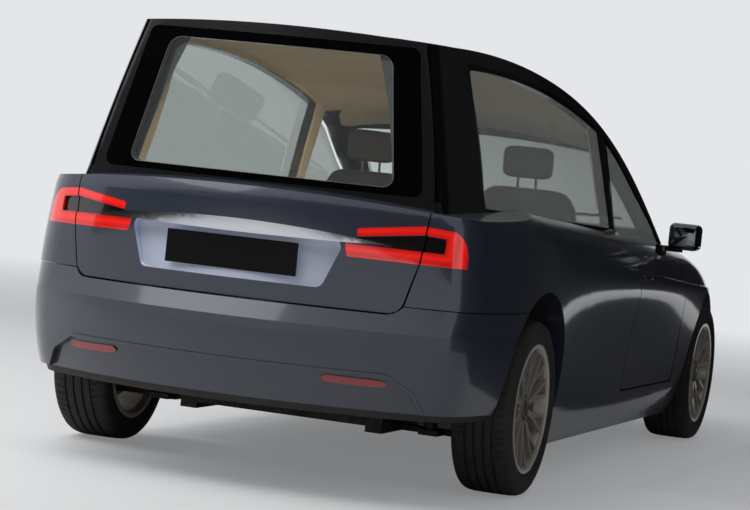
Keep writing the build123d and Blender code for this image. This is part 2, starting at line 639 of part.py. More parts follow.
def wheel_form():
    """The rim, spokes, hub and disc of a left wheel about its own centre."""
    lip = RIM_LIP
    barrel = [(-114, lip), (-107, lip), (-106, TYRE_BEAD), (106, TYRE_BEAD), (107, lip), (114, lip), (114, 244),
              (100, 232), (60, 224), (-90, 228), (-114, 240)]
    rim = turned(barrel)
    dish = turned([(84, 50), (92, 140), (106, 237), (82, 237), (64, 140), (56, 50)])
    fork = make_face(Polyline([(-11, 52), (11, 52), (13, 120), (38, 237), (-38, 237), (-13, 120)], close=True))
    fork -= make_face(Polyline([(0, 142), (24, 229), (-24, 229)], close=True))
    fork = extrude(Plane.YZ.offset(40) * fork, amount=80)
    spokes = Part() + [Rot(36 * i, 0, 0) * fork for i in range(10)]
    hub = rod((-30, 0, 0), (74, 0, 0), 70) + rod((70, 0, 0), (88, 0, 0), 34)
    hub += rod((-30, 0, 0), (-6, 0, 0), 175)
    hub -= rod((-31, 0, 0), (46, 0, 0), 25 + RUN_GAP)
    return rim + (spokes & dish) + hub


tyre = tyre_form()
wheel = wheel_form()
for end, axle, track in (("front", FRONT_AXLE, FRONT_TRACK), ("rear", REAR_AXLE, REAR_TRACK)):
    for name, side in SIDES:
        place = Pos(side * track / 2, axle, HUB_Z)
        save(f"{end}_{name}_tyre", place * tyre)
        save(f"{end}_{name}_wheel", place * (wheel if side == LEFT else mirror(wheel, about=Plane.YZ)))


# Hub carriers with spindle and brake caliper, and the arms that hold them
def carrier_form(steered):
    """A left hub carrier about the wheel centre."""
    post = -FRONT_TRACK / 2 + STEER_X
    body = block((post - 22, post + 20), (-28, 28), (-150, 150)) + rod((post, 0, 0), (-36, 0, 0), 60)
    body += rod((post, 0, 0), (40, 0, 0), 25)
    body += block((post - 22, post + 12), (0, 150), (-30, 30))
    caliper = block((-52, 12), (112, 182), (-58, 58)) - block((-36, 0), (0, 200), (-70, 70))
    caliper += block((-36, 0), (182, 192), (-58, 58)) + block((-52, 12), (178, 192), (-58, 58))
    body += caliper + block((post - 22, -36), (100, 182), (-30, 30))
    if steered:
        for low, high in ((-151, -115), (115, 151)):
            body -= rod((post, 0, low), (post, 0, high), 9 + RUN_GAP)
    return body


knuckle = Pos(FRONT_TRACK / 2, FRONT_AXLE, HUB_Z) * carrier_form(True)
for name, side in SIDES:
    save(f"{name}_knuckle", knuckle if side == LEFT else mirror(knuckle, about=Plane.YZ))
front_gear = block((-420, 420), (-1930, -1730), (176, 230))
front_gear += rod((-400, -1690, 240), (400, -1690, 240), 24) + block((-60, 60), (-1732, -1690), (176, 240))
lower_arm = [(420, -1930), (420, -1730), (560, -1745), (790, -1805), (790, -1855)]
upper_arm = [(444.3, -1890), (444.3, -1815), (790, -1812), (790, -1850)]
for side in (LEFT, RIGHT):
    pieces = [plan_cut(make_face(Polyline(lower_arm, close=True)), HUB_Z - 175, HUB_Z - 155),
              plan_cut(make_face(Polyline(upper_arm, close=True)), HUB_Z + 155, HUB_Z + 175),
              block((444.3, 452), (-1900, -1805), (HUB_Z + 140, HUB_Z + 190)),
              rod((STEER_X, FRONT_AXLE, HUB_Z - 165), (STEER_X, FRONT_AXLE, HUB_Z - 120), 9),
              rod((STEER_X, FRONT_AXLE, HUB_Z + 165), (STEER_X, FRONT_AXLE, HUB_Z + 120), 9),
              rod((540, -1775, 190), (510, -1775, 713), 26)]
    for piece in pieces:
        front_gear += piece if side == LEFT else mirror(piece, about=Plane.YZ)
save("front_suspension", front_gear)
rear_gear = block((-430, 430), (1440, 1475), (220, 300)) + block((-430, 430), (1880, 1915), (220, 300))
carrier = Pos(REAR_TRACK / 2, REAR_AXLE, HUB_Z) * carrier_form(False)
carrier += block((400, 790), (1640, 1700), (HUB_Z - 150, HUB_Z - 128))
carrier += block((400, 790), (1650, 1690), (HUB_Z + 128, HUB_Z + 150))
carrier += block((360, 430), (1440, 1915), (196, 300)) + block((400, 430), (1640, 1700), (290, HUB_Z + 150))
carrier += rod((210, REAR_AXLE, HUB_Z), (760, REAR_AXLE, HUB_Z), 15)
carrier += block((540, 620), (1700, 1785), (HUB_Z - 150, HUB_Z - 128))
carrier += rod((580, 1745, 215), (560, 1745, LOAD_FLOOR - 2), 26)
for piece in both(carrier):
    rear_gear += piece
save("rear_suspension", rear_gear)

# Cabin: load floor with rails and rollers, lining, seats, dashboard and steering wheel
deck = block((-494, 494), (-40, 2440), (LOAD_FLOOR, LOAD_FLOOR + 20))
deck_top = LOAD_FLOOR + 20
for x in (-340, -240, 240, 340):
    deck += block((x - 12, x + 12), (10, 2410), (deck_top, deck_top + 16))
for i in range(8):
    deck += rod((-240, 190 + 290 * i, deck_top + 10), (240, 190 + 290 * i, deck_top + 10), 12)
deck += block((-360, 360), (-30, 0), (deck_top, deck_top + 60))
save("load_floor", deck)
cabin = glasshouse_form(ROOF_WALL + RUN_GAP) - glasshouse_form(ROOF_WALL + 10)
cabin &= block((-1100, 1100), (-330, 2700), (1150, 1900))
cabin -= frame_zone(36)
cabin -= plan_cut(windshield_outline(20), 850, 1650)
for side in (LEFT, RIGHT):
    cabin -= side_cut(side_glass_outline(6), 300, 1100, side)
    cabin -= side_cut(door_top_outline(20), 300, 1100, side)
lining = keep(cabin)
trim = block((496, 1100), (-50, 2376), (832, 842)) & inner_wall
trim += block((496, 504), (-50, 1190), (deck_top + 0.5, 842)) + block((496, 504), (2100, 2376), (deck_top + 0.5, 842))
lining += both(trim.solids().sort_by(SortBy.VOLUME)[-1])
save("cabin_lining", lining)


def seat_form():
    """A front seat: pedestal, cushion, leaning back and head restraint."""
    cushion = [(-730, 400), (-740, 510), (-700, 540), (-280, 500), (-240, 400)]
    back = [(-300, 430), (-255, 520), (-85, 1230), (-20, 1230), (-10, 1180), (-190, 420)]
    head = [(-75, 1252), (-65, 1410), (5, 1410), (20, 1262)]
    seat = side_cut(make_face(FilletPolyline(cushion, radius=25, close=True)), 125, 635, LEFT)
    seat += side_cut(make_face(FilletPolyline(back, radius=22, close=True)), 135, 625, LEFT)
    seat += side_cut(make_face(FilletPolyline(head, radius=20, close=True)), 260, 500, LEFT)
    seat += block((330, 345), (-45, -25), (1180, 1300)) + block((415, 430), (-45, -25), (1180, 1300))
    return seat + block((200, 560), (-680, -300), (282, 420))


save("front_seats", both(seat_form()))
dash = [(-1269.7, 700), (-1269.7, 900), (-1140, 985), (-975, 965), (-930, 905), (-965, 770), (-1120, 700)]
dashboard = through_cut(make_face(FilletPolyline(dash, radius=18, close=True)), 640)
save("dashboard", dashboard)
wheel_plane = Plane(origin=(380, -845, 905), x_dir=(1, 0, 0), z_dir=(0, 0.88, 0.47))
section = [(192, 5), (184, 13), (172, 13), (164, 5), (164, -5), (172, -13), (184, -13), (192, -5)]
grip = revolve(Plane.XZ * make_face(Polyline(section, close=True)), Axis.Z)
grip = wheel_plane * (grip + Cylinder(52, 34) + Box(340, 26, 16) + Pos(0, -90, 0) * Box(30, 170, 16))
grip += rod((380, -845, 905), (380, -925, 862), 24)
save("steering_wheel", (grip - dashboard).solids().sort_by(SortBy.VOLUME)[-1])
bar = [(-600, 957), (0, 948), (600, 957), (0, 997)]
trim_face = make_face([ThreePointArc(bar[0], bar[1], bar[2]), ThreePointArc(bar[2], bar[3], bar[0])])
save("tailgate_trim", rear_cut(trim_face, 2400, 2700) & (flank_form(FLANK_ROWS, -8) - flank_form(FLANK_ROWS, -RUN_GAP)))
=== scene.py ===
"""Looks for the electric hearse: paint, glass, lamps, cabin, wheels, and the small trim on them."""
import bmesh
import bpy
import math
from mathutils import Matrix, Vector


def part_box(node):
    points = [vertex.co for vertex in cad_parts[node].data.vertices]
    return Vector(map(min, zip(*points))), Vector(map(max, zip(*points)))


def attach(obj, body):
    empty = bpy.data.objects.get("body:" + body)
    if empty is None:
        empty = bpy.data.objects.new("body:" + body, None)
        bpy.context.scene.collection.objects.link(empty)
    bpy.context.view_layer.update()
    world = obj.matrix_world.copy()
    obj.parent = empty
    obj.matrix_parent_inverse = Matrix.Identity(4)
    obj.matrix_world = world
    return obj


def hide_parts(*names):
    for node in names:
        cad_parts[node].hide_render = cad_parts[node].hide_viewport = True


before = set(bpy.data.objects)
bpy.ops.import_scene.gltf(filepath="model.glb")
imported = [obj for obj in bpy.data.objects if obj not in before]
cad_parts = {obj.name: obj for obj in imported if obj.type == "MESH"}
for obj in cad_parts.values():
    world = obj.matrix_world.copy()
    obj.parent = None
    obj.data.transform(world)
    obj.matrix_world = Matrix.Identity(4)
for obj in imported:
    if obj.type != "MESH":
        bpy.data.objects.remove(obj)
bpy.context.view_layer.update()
scene = bpy.context.scene

# Painted panels
# Pressed steel and aluminium, sprayed with a dark metallic basecoat under clear lacquer. The flakes give
# the grey a slight sparkle, the lacquer a sharp reflection, and road dust dulls the foot of the flanks.
PAINT_DARK = "#1f232d"
PAINT_FLAKE = "#3a4151"
FLAKE_MM = 1.4  # real flakes are 0.05 mm; drawn coarser so that they show
GLOSS_BLACK = "#060709"
PAINT_METAL = 0.45
PAINT_ROUGH = 0.38
ROAD_DUST = "#57534c"
DUST_PATCH_MM = 90
DUST_COVER = 0.22
DUST_FROM, DUST_TO = 0.62, 0.16  # metres above the road
INWARD = -0.35
# The mix node's sockets share their names, so its factor and its two colours go in by place.
FACTOR, FIRST, SECOND = 0, 6, 7

# Limits in metres. A row says how fast the way to one edge grows along X, Y and Z, and what it is at the
# origin; X counts outwards on both sides. The recess lies that deep under the lid's bowed skin.
# The plate's recess is body-coloured; its pale silver-blue is a painted reflection of bright light.
PAINTED_RECESS_REFLECTION = "#dde4f4"
RECESS_EDGES = ((-1, 0, 0.376, 0.076), (0, 0, 1, -0.773), (0, 0, -1, 0.964))
RECESS_DEPTH = (0.004, 0.062)
LID_SKIN = (0, -1, -0.063, 2.712)
LID_BOW = -0.29


def linear(code):
    """An sRGB hex colour as linear RGBA."""
    parts = [int(code[i:i + 2], 16) / 255 for i in (1, 3, 5)]
    return tuple(c / 12.92 if c <= 0.04045 else ((c + 0.055) / 1.055) ** 2.4 for c in parts) + (1.0,)


def wire(made, inputs):
    """Fill a node's inputs, by name or in order: with a number, a hex colour, a socket or another node."""
    for key, value in inputs.items() if isinstance(inputs, dict) else enumerate(inputs):
        if isinstance(value, bpy.types.Node):
            value = next(out for out in value.outputs if out.enabled)
        if isinstance(value, bpy.types.NodeSocket):
            made.id_data.links.new(value, made.inputs[key])
        else:
            made.inputs[key].default_value = linear(value) if isinstance(value, str) else value


def put(tree, kind, inputs=(), **settings):
    """Add a node with its settings and its inputs."""
    made = tree.nodes.new("ShaderNode" + kind)
    for key, value in settings.items():
        setattr(made, key, value)
    wire(made, inputs)
    return made


def surface(name, **values):
    """A new material with its shader's own values set; returns it, its node tree and its shader."""
    made = bpy.data.materials.new(name)
    made.use_nodes = True
    shader = made.node_tree.nodes["Principled BSDF"]
    wire(shader, {key.replace("_", " "): value for key, value in values.items()})
    return made, made.node_tree, shader


def dress(material, *nodes):
    """Give one material to CAD nodes."""
    for name in nodes:
        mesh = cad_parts[name].data
        mesh.materials.clear()
        mesh.materials.append(material)


def place(tree):
    """The rest position as separate X, Y and Z, in metres."""
    return put(tree, "SeparateXYZ", [put(tree, "TexCoord").outputs["Object"]]).outputs


def outwards(tree):
    """The rest position with X counted outwards on both sides."""
    x, y, z = place(tree)
    return put(tree, "CombineXYZ", (put(tree, "Math", [x], operation="ABSOLUTE"), y, z))


def combined(tree, operation, *values):
    """Several values as one, by the same sum on each in turn."""
    result = values[0]
    for value in values[1:]:
        result = put(tree, "Math", (result, value), operation=operation)
    return result


def graded(tree, spot, row):
    """A value that changes evenly: how fast along X, Y and Z, and what it is at the origin."""
    along = put(tree, "VectorMath", (spot, row[:3]), operation="DOT_PRODUCT")
    return put(tree, "Math", (along, row[3]), operation="ADD")


def least(tree, spot, rows):
    """The smallest of several evenly changing values."""
    return combined(tree, "MINIMUM", *(graded(tree, spot, row) for row in rows))


def patches(tree, size_mm, detail=2.0, low=0.0, high=1.0):
    """A mask in soft patches about that many millimetres across: 0 up to low and 1 from high."""
    rest = put(tree, "TexCoord").outputs["Object"]
    noise = put(tree, "TexNoise", {"Vector": rest, "Scale": 1000 / size_mm, "Detail": detail})
    return put(tree, "MapRange", (noise, low, high))


def mottled(tree, first, second, size_mm, detail, low, high):
    """Two shades in soft patches about that many millimetres across."""
    mask = patches(tree, size_mm, detail, low, high)
    return put(tree, "Mix", {FACTOR: mask, FIRST: first, SECOND: second}, data_type="RGBA")


def flaked(tree):
    """The basecoat's colour, lighter where a flake lies flat."""
    rest = put(tree, "TexCoord").outputs["Object"]
    flake = put(tree, "TexVoronoi", {"Vector": rest, "Scale": 1000 / FLAKE_MM})
    return put(tree, "Mix", {FACTOR: flake, FIRST: PAINT_DARK, SECOND: PAINT_FLAKE}, data_type="RGBA")


def lacquered(name, inner=None, black_above=None, recess=False):
    """Metallic paint. It can turn to gloss black above a height, to a pale painted reflection in the plate's
    recess, and to trim on the cabin's side."""
    made, tree, shader = surface(name, Metallic=PAINT_METAL, Roughness=PAINT_ROUGH, Coat_Weight=1.0,
                                 Coat_Roughness=0.09)
    x, y, z = place(tree)
    squared = put(tree, "Math", (x, x), operation="MULTIPLY")
    low_down = put(tree, "MapRange", (z, DUST_FROM, DUST_TO))
    film = combined(tree, "MULTIPLY", low_down, patches(tree, DUST_PATCH_MM, 6.0, 0.3, 0.75), DUST_COVER)
    colour = put(tree, "Mix", {FACTOR: film, FIRST: flaked(tree), SECOND: ROAD_DUST}, data_type="RGBA")
    if black_above:
        base, rise, crown = black_above
        level = put(tree, "Math", (y, rise, base), operation="MULTIPLY_ADD")
        level = put(tree, "Math", (squared, -crown, level), operation="MULTIPLY_ADD")
        above = put(tree, "Math", (z, level), operation="GREATER_THAN")
        colour = put(tree, "Mix", {FACTOR: above, FIRST: colour, SECOND: GLOSS_BLACK}, data_type="RGBA")
    # Painted reflection: the recess floor and walls turn pale silver, where the real paint reflects bright
    # light.
    if recess:
        spot = outwards(tree)
        depth = put(tree, "Math", (squared, LID_BOW, graded(tree, spot, LID_SKIN)), operation="MULTIPLY_ADD")
        sunk = put(tree, "Math", (depth, RECESS_DEPTH[0]), operation="GREATER_THAN")
        outer = put(tree, "Math", (depth, RECESS_DEPTH[1]), operation="LESS_THAN")
        within = put(tree, "Math", (least(tree, spot, RECESS_EDGES), 0.0), operation="GREATER_THAN")
        mask = combined(tree, "MULTIPLY", within, sunk, outer)
        colour = put(tree, "Mix", {FACTOR: mask, FIRST: colour, SECOND: PAINTED_RECESS_REFLECTION}, data_type="RGBA")
    if inner:
        facing = put(tree, "SeparateXYZ", [put(tree, "TexCoord").outputs["Normal"]]).outputs["X"]
        side = put(tree, "Math", [x], operation="SIGN")
        facing = put(tree, "Math", (facing, side), operation="MULTIPLY")
        inward = put(tree, "Math", (facing, INWARD), operation="LESS_THAN")
        colour = put(tree, "Mix", {FACTOR: inward, FIRST: colour, SECOND: inner}, data_type="RGBA")
    wire(shader, {"Base Color": colour})
    return made


dress(lacquered("metallic_lacquer"), "front_bumper", "front_fenders", "hood", "rear_bumper", "sills")
dress(lacquered("lacquer_over_load_bay_trim", inner="#c2b190"), "quarter_panels")
dress(lacquered("lacquer_over_door_trim", inner="#1b1a19", black_above=(1.061, 0.045, 0.0)),
      "left_door", "right_door")
# The tailgate's plate recess carries the painted reflection.
dress(lacquered("lacquer_on_tailgate", black_above=(1.134, 0.0, 0.07), recess=True), "tailgate")

# Roof and mirrors
# The pillars and the roof's frame are sprayed gloss black, so they read as one band with the glass. The
# flange behind the tailgate is only primed, and stays dull. The mirrors' housings are moulded black.
FLANGE_Y = 2.396
FLANGE_REACH = 0.002
GLOSSY = 0.12
PRIMED = 0.92
black, tree, shader = surface("black_lacquer", Coat_Roughness=0.02)
flange = put(tree, "Math", (place(tree)["Y"], FLANGE_Y, FLANGE_REACH), operation="COMPARE")
wire(shader, {"Base Color": mottled(tree, GLOSS_BLACK, "#0b0c0f", 60, 4.0, 0.35, 0.7),
              "Roughness": put(tree, "Math", (flange, PRIMED - GLOSSY, GLOSSY), operation="MULTIPLY_ADD"),
              "Coat Weight": put(tree, "Math", (1.0, flange), operation="SUBTRACT")})
dress(black, "roof", "left_mirror", "right_mirror")

# Glass
# Laminated and tempered panes, 5 mm thick, lightly tinted. Round their edges a black ceramic band is
# fired on, which hides the glue. Limits are in metres, as rows like those of the recess.
FRIT = "#050506"
SOFT_EDGE = 0.001
REAR_FOOT, REAR_HEAD = 1.168, 1.662
REAR_HALF, REAR_TAPER = 0.540, 0.178
REAR_SIDE = (-1, 0, -REAR_TAPER, REAR_HALF + REAR_TAPER * REAR_FOOT)
REAR_ENDS = ((0, 0, 1, -REAR_FOOT), (0, 0, -1, REAR_HEAD))
REAR_CORNER = 0.045
SHIELD_FOOT = (1.075, 1.06)
SHIELD_HEAD = (-0.47, -0.45)
SIDE_EDGES = ((0, -0.0256, 1, -1.0746), (0, 1, -0.1308, 0.1625), (0, -1, 0, 1.925))
SIDE_ARCH = (0, 0.195951, -1, 1.495406)
SIDE_BOW = -0.0593
SMEAR_FROM, SMEAR_TO = 1.09, 1.05
SMEAR_COVER = 0.1


def pane(name, tint, covered):
    """Tinted glass with a fired black band where covered says so."""
    made, tree, shader = surface(name, Roughness=0.0, IOR=1.5)
    mask = covered(tree)
    wire(shader, {"Base Color": put(tree, "Mix", {FACTOR: mask, FIRST: tint, SECOND: FRIT}, data_type="RGBA"),
                  "Transmission Weight": put(tree, "Math", (1.0, mask), operation="SUBTRACT")})
    return made


def rounded(tree, across, upright):
    """How far out a point lies in a round corner, from how far it lies out each way."""
    ways = [put(tree, "Math", (way, 0.0), operation="MAXIMUM") for way in (across, upright)]
    return put(tree, "VectorMath", [put(tree, "CombineXYZ", ways)], operation="LENGTH")


def rear_band(tree):
    """Outside a rounded trapezoid seen from behind: its half width shrinks upwards."""
    spot = outwards(tree)
    across = put(tree, "Math", (REAR_CORNER, graded(tree, spot, REAR_SIDE)), operation="SUBTRACT")
    upright = put(tree, "Math", (REAR_CORNER, least(tree, spot, REAR_ENDS)), operation="SUBTRACT")
    reach = rounded(tree, across, upright)
    return put(tree, "MapRange", (reach, REAR_CORNER - SOFT_EDGE, REAR_CORNER + SOFT_EDGE))


def shield_band(tree):
    """The lowest strip of the windshield and the strip under the roof."""
    x, y, z = place(tree)
    foot = put(tree, "MapRange", (z, *SHIELD_FOOT))
    head = put(tree, "MapRange", (y, *SHIELD_HEAD))
    return put(tree, "Math", (foot, head), operation="MAXIMUM")


def side_band(tree):
    """Outside the long side window's opening, whose upper edge is an arc."""
    spot = put(tree, "TexCoord").outputs["Object"]
    y = place(tree)["Y"]
    squared = put(tree, "Math", (y, y), operation="MULTIPLY")
    arch = put(tree, "Math", (squared, SIDE_BOW, graded(tree, spot, SIDE_ARCH)), operation="MULTIPLY_ADD")
    within = put(tree, "Math", (arch, least(tree, spot, SIDE_EDGES)), operation="MINIMUM")
    return put(tree, "MapRange", (within, SOFT_EDGE, -SOFT_EDGE))


def no_band(tree):
    """The door's glass is tempered and has no fired band; a smear of dust lies along its foot."""
    smear = put(tree, "MapRange", (place(tree)["Z"], SMEAR_FROM, SMEAR_TO))
    return put(tree, "Math", (smear, SMEAR_COVER), operation="MULTIPLY")


dress(pane("rear_glass", "#f3f8f6", rear_band), "rear_window")
dress(pane("windshield_glass", "#dfe5e3", shield_band), "windshield")
dress(pane("load_bay_glass", "#bcc1bd", side_band), "side_windows")
dress(pane("door_glass", "#bcc1bd", no_band), "left_door_glass", "right_door_glass")

# Lamps
# The tail lamps are clear-faced mouldings: a red light guide runs round a dark, clear middle, and the
# outer end is rounded and meets the paint. The bumper's reflectors are moulded red acrylic.
LIT_RED = "#ee2018"
DEEP_RED = "#a3120f"
DARK_RED = "#8a0a0d"
LAMP_DARK = "#171314"
RIB_MM = 4
GUIDE_WIDTH = 0.036
GUIDE_EDGE = 0.002
LAMP_MIDDLE = ((0.129, 0, -1, 0.919), (-0.09, 0, -1, 1.072), (0.014, 0, 1, -0.955), (-1, 0, 0, 0.778))
LAMP_TIP = (0.95, -0.31, 0, 0.007)
LAMP_CROWN = ((-0.1, 0, -1, 1.112), (-0.21, 0, -1, 1.2))
TIP_RADIUS = 0.068
CROWN_RADIUS = 0.088
REFLECTOR_TOP = 0.7
INNER_FACE = -0.3
END_FACE, END_WITHIN = 0.9, 0.75
LENS_ROUGH = 0.12
GLOW_EVEN, GLOW_CORE = 0.22, 0.5


def lamp_masks(tree):
    """On the lamps: the light guide, the light across its width, and all within the rounded outline."""
    spot = outwards(tree)
    edge = least(tree, spot, LAMP_MIDDLE)
    across = put(tree, "Math", (edge, GUIDE_WIDTH), operation="DIVIDE")
    across = put(tree, "Math", (across, 0.5), operation="PINGPONG")
    tip = put(tree, "Math", (graded(tree, spot, LAMP_TIP), TIP_RADIUS), operation="DIVIDE")
    crown = put(tree, "Math", (CROWN_RADIUS, least(tree, spot, LAMP_CROWN)), operation="SUBTRACT")
    crown = put(tree, "Math", (crown, CROWN_RADIUS), operation="DIVIDE")
    within = put(tree, "MapRange", (rounded(tree, tip, crown), 1.02, 1.0))
    return put(tree, "MapRange", (edge, GUIDE_EDGE, 0.0)), across, within


red, tree, shader = surface("red_light_guide", Coat_Weight=1.0, Coat_Roughness=0.03, IOR=1.49)
x, y, z = place(tree)
wide = put(tree, "Math", [x], operation="ABSOLUTE")
guide, across, within = lamp_masks(tree)
lamp = put(tree, "Math", (z, REFLECTOR_TOP), operation="GREATER_THAN")
normal = put(tree, "SeparateXYZ", [put(tree, "TexCoord").outputs["Normal"]]).outputs
behind = put(tree, "Math", (normal["Y"], INNER_FACE), operation="LESS_THAN")
sideways = put(tree, "Math", [normal["X"]], operation="ABSOLUTE")
cut_edge = combined(tree, "MULTIPLY", put(tree, "Math", (sideways, END_FACE), operation="GREATER_THAN"),
                    put(tree, "Math", (wide, END_WITHIN), operation="LESS_THAN"))
unlit = put(tree, "Math", (cut_edge, behind), operation="MAXIMUM")
guide = combined(tree, "MULTIPLY", guide, put(tree, "Math", (1.0, unlit), operation="SUBTRACT"))
prism = put(tree, "Math", (wide, 1000 / RIB_MM), operation="MULTIPLY")
prism = put(tree, "Math", (prism, 0.5), operation="PINGPONG")
light = put(tree, "Math", (across, prism), operation="ADD")
lit = put(tree, "Mix", {FACTOR: light, FIRST: DEEP_RED, SECOND: LIT_RED}, data_type="RGBA")
lens = put(tree, "Mix", {FACTOR: guide, FIRST: LAMP_DARK, SECOND: lit}, data_type="RGBA")
lens = put(tree, "Mix", {FACTOR: within, FIRST: flaked(tree), SECOND: lens}, data_type="RGBA")
acrylic = put(tree, "Mix", {FACTOR: prism, FIRST: DARK_RED, SECOND: DEEP_RED}, data_type="RGBA")
painted = combined(tree, "MULTIPLY", lamp, put(tree, "Math", (1.0, within), operation="SUBTRACT"))
glow = put(tree, "Math", (across, GLOW_CORE, GLOW_EVEN), operation="MULTIPLY_ADD")
wire(shader, {"Base Color": put(tree, "Mix", {FACTOR: lamp, FIRST: acrylic, SECOND: lens}, data_type="RGBA"),
              "Metallic": put(tree, "Math", (painted, PAINT_METAL), operation="MULTIPLY"),
              "Roughness": put(tree, "Math", (painted, PAINT_ROUGH - LENS_ROUGH, LENS_ROUGH),
                               operation="MULTIPLY_ADD"),
              "Emission Color": LIT_RED,
              "Emission Strength": combined(tree, "MULTIPLY", guide, within, lamp, glow)})
dress(red, "tail_lamps", "tailgate_lamps")

# Headlamps
# Clear polycarbonate covers over a dark housing, moulded smooth, so they look like black glass. One pale
# light bar runs along them.
BAR_Z = 0.735
BAR_EDGE = (0.012, 0.008)
clear, tree, shader = surface("headlamp_cover", Roughness=0.05, Coat_Weight=1.0, IOR=1.58)
off_bar = put(tree, "Math", (place(tree)["Z"], BAR_Z), operation="SUBTRACT")
off_bar = put(tree, "Math", [off_bar], operation="ABSOLUTE")
bar = put(tree, "MapRange", (off_bar, *BAR_EDGE))
wire(shader, {"Base Color": put(tree, "Mix", {FACTOR: bar, FIRST: "#0d0f12", SECOND: "#dfe6ea"},
                                data_type="RGBA")})
dress(clear, "headlamps")

# Bright trim and plate
# A chromed bar, plated plastic, polished, crosses the lid over the number plate; fine wipe marks show in
# its reflection. The plate is a blank strip, near black: painted shade for the shadow it lies in.
chrome, tree, shader = surface("bright_chrome", Metallic=1.0, Roughness=0.08)
wire(shader, {"Base Color": mottled(tree, "#cfd1d4", "#dadbdd", 300, 2.0, 0.3, 0.8)})
dress(chrome, "tailgate_trim")
plate, tree, shader = surface("plate_painted_shade", Roughness=0.55, Specular_IOR_Level=0.15)
# Painted shade: the plate is coloured near black for the shadow it lies in.
wire(shader, {"Base Color": mottled(tree, "#060607", "#0a0a0b", 8, 4.0, 0.3, 0.8)})
dress(plate, "number_plate")

# Unpainted mouldings
# The valance, wheel liners, cowl and dashboard are grained black polypropylene, so they stay matte
# and slightly grey where dust sits in the grain.
GRAIN_MM = 1.5


def grained(tree, size_mm, depth, detail=2.0):
    """A raised grain: lumps about that many millimetres across, and their depth in metres."""
    lumps = patches(tree, size_mm, detail)
    return put(tree, "Bump", {"Height": lumps, "Distance": depth, "Strength": 1.0})


matte, tree, shader = surface("grained_polypropylene", Roughness=0.6)
wire(shader, {"Base Color": mottled(tree, "#101011", "#1d1c1b", 40, 6.0, 0.35, 0.75),
              "Normal": grained(tree, GRAIN_MM, 0.0004)})
dress(matte, "rear_valance", "wheel_liners", "cowl_panel", "dashboard", "steering_wheel")

# Underside
# The floor is electrocoated steel under a sprayed sealer, the battery case cast and sealed
# aluminium, the suspension forged and cast iron. All carry road grime.
sealed, tree, shader = surface("sprayed_underseal", Roughness=0.75)
wire(shader, {"Base Color": mottled(tree, "#0e0e0e", "#2b2824", 120, 8.0, 0.35, 0.7),
              "Normal": grained(tree, 6, 0.001, 4.0)})
dress(sealed, "floor_pan")
cast, tree, shader = surface("cast_aluminium", Metallic=0.9, Roughness=0.5)
wire(shader, {"Base Color": mottled(tree, "#6f7172", "#3d3b38", 80, 8.0, 0.3, 0.75),
              "Normal": grained(tree, 3, 0.0004, 3.0)})
dress(cast, "battery_pack", "drive_unit")
iron, tree, shader = surface("cast_iron", Metallic=0.6, Roughness=0.6)
wire(shader, {"Base Color": mottled(tree, "#1a1918", "#3a322b", 25, 8.0, 0.35, 0.7),
              "Normal": grained(tree, 2.5, 0.0004, 3.0)})
dress(iron, "front_suspension", "rear_suspension", "left_knuckle", "right_knuckle")

# Wheels
# Alloy rims with ten forked spokes, painted bronze grey and machined bright on the lip. Behind them sit
# iron brake discs, bare and grey where the pads rub.
CORNERS = {"front_left": (0.831, -1.830), "front_right": (-0.831, -1.830),
           "rear_left": (0.850, 1.670), "rear_right": (-0.850, 1.670)}
HUB_Z = 0.3515
LIP_EDGE = (0.2405, 0.2425)
DISC_FACE = (0.03, 0.02)
DISC_EDGE = (0.2, 0.19)


def round_wheel(tree, corner):
    """Distance from the wheel's axle, and distance outboard of its middle."""
    wheel_x, wheel_y = CORNERS[corner]
    rest = put(tree, "TexCoord").outputs["Object"]
    off_hub = put(tree, "VectorMath", (rest, (wheel_x, wheel_y, HUB_Z)), operation="SUBTRACT")
    x, y, z = put(tree, "SeparateXYZ", [off_hub]).outputs
    radius = put(tree, "VectorMath", [put(tree, "CombineXYZ", (0.0, y, z))], operation="LENGTH")
    return radius, put(tree, "Math", (x, math.copysign(1, wheel_x)), operation="MULTIPLY")


for corner in CORNERS:
    alloy, tree, shader = surface(f"painted_alloy_{corner}", Metallic=0.35, Roughness=0.42, Coat_Weight=0.6)
    radius, out = round_wheel(tree, corner)
    lip = put(tree, "MapRange", (radius, *LIP_EDGE))
    disc = combined(tree, "MULTIPLY", put(tree, "MapRange", (out, *DISC_FACE)),
                    put(tree, "MapRange", (radius, *DISC_EDGE)))
    colour = mottled(tree, "#8c847a", "#9d948a", 50, 5.0, 0.3, 0.8)
    colour = put(tree, "Mix", {FACTOR: lip, FIRST: colour, SECOND: "#b8b4ad"}, data_type="RGBA")
    colour = put(tree, "Mix", {FACTOR: disc, FIRST: colour, SECOND: "#8f8b86"}, data_type="RGBA")
    wire(shader, {"Base Color": colour})
    dress(alloy, f"{corner}_wheel")

# Tyres
# Low tyres of moulded black rubber, dusty, with fine rings on the walls, four grooves round the tread
# and cut shoulder blocks. They stand for the plain rings of the CAD.
RING_MM = 5
RING_HEIGHT = 0.35
WALL_EDGE = (0.318, 0.314)
RUBBER_MM = 2
# Half of the section: offset from the middle and radius in mm, and how deep the cross cuts are.
TYRE_HALF = (
    (105, 243.4, 0), (106, 251, 0), (109, 257, 0), (112.5, 262, 0), (112, 268, 0), (115, 274, 0),
    (119, 284, 0), (121.5, 294, 0), (122, 303, 0), (121, 314, 0), (118.5, 325, 0), (114.5, 333.5, 1),
    (108, 340.5, 4), (100, 345, 5), (90, 348.4, 5.5), (74, 350.2, 5.5), (62, 350.9, 5.5), (60, 350.6, 0),
    (58, 343.5, 0), (51, 343.5, 0), (49, 350.9, 0), (47, 351.2, 3), (36, 351.4, 3), (26, 351.4, 3),
    (24, 351.2, 0), (22, 343.5, 0), (15, 343.5, 0), (13, 351.2, 0), (11, 351.4, 0), (0, 351.4, 0),
)
PITCHES = 72
STEPS = 4
SKEW = 0.0006
SHOULDER_CUT = 5


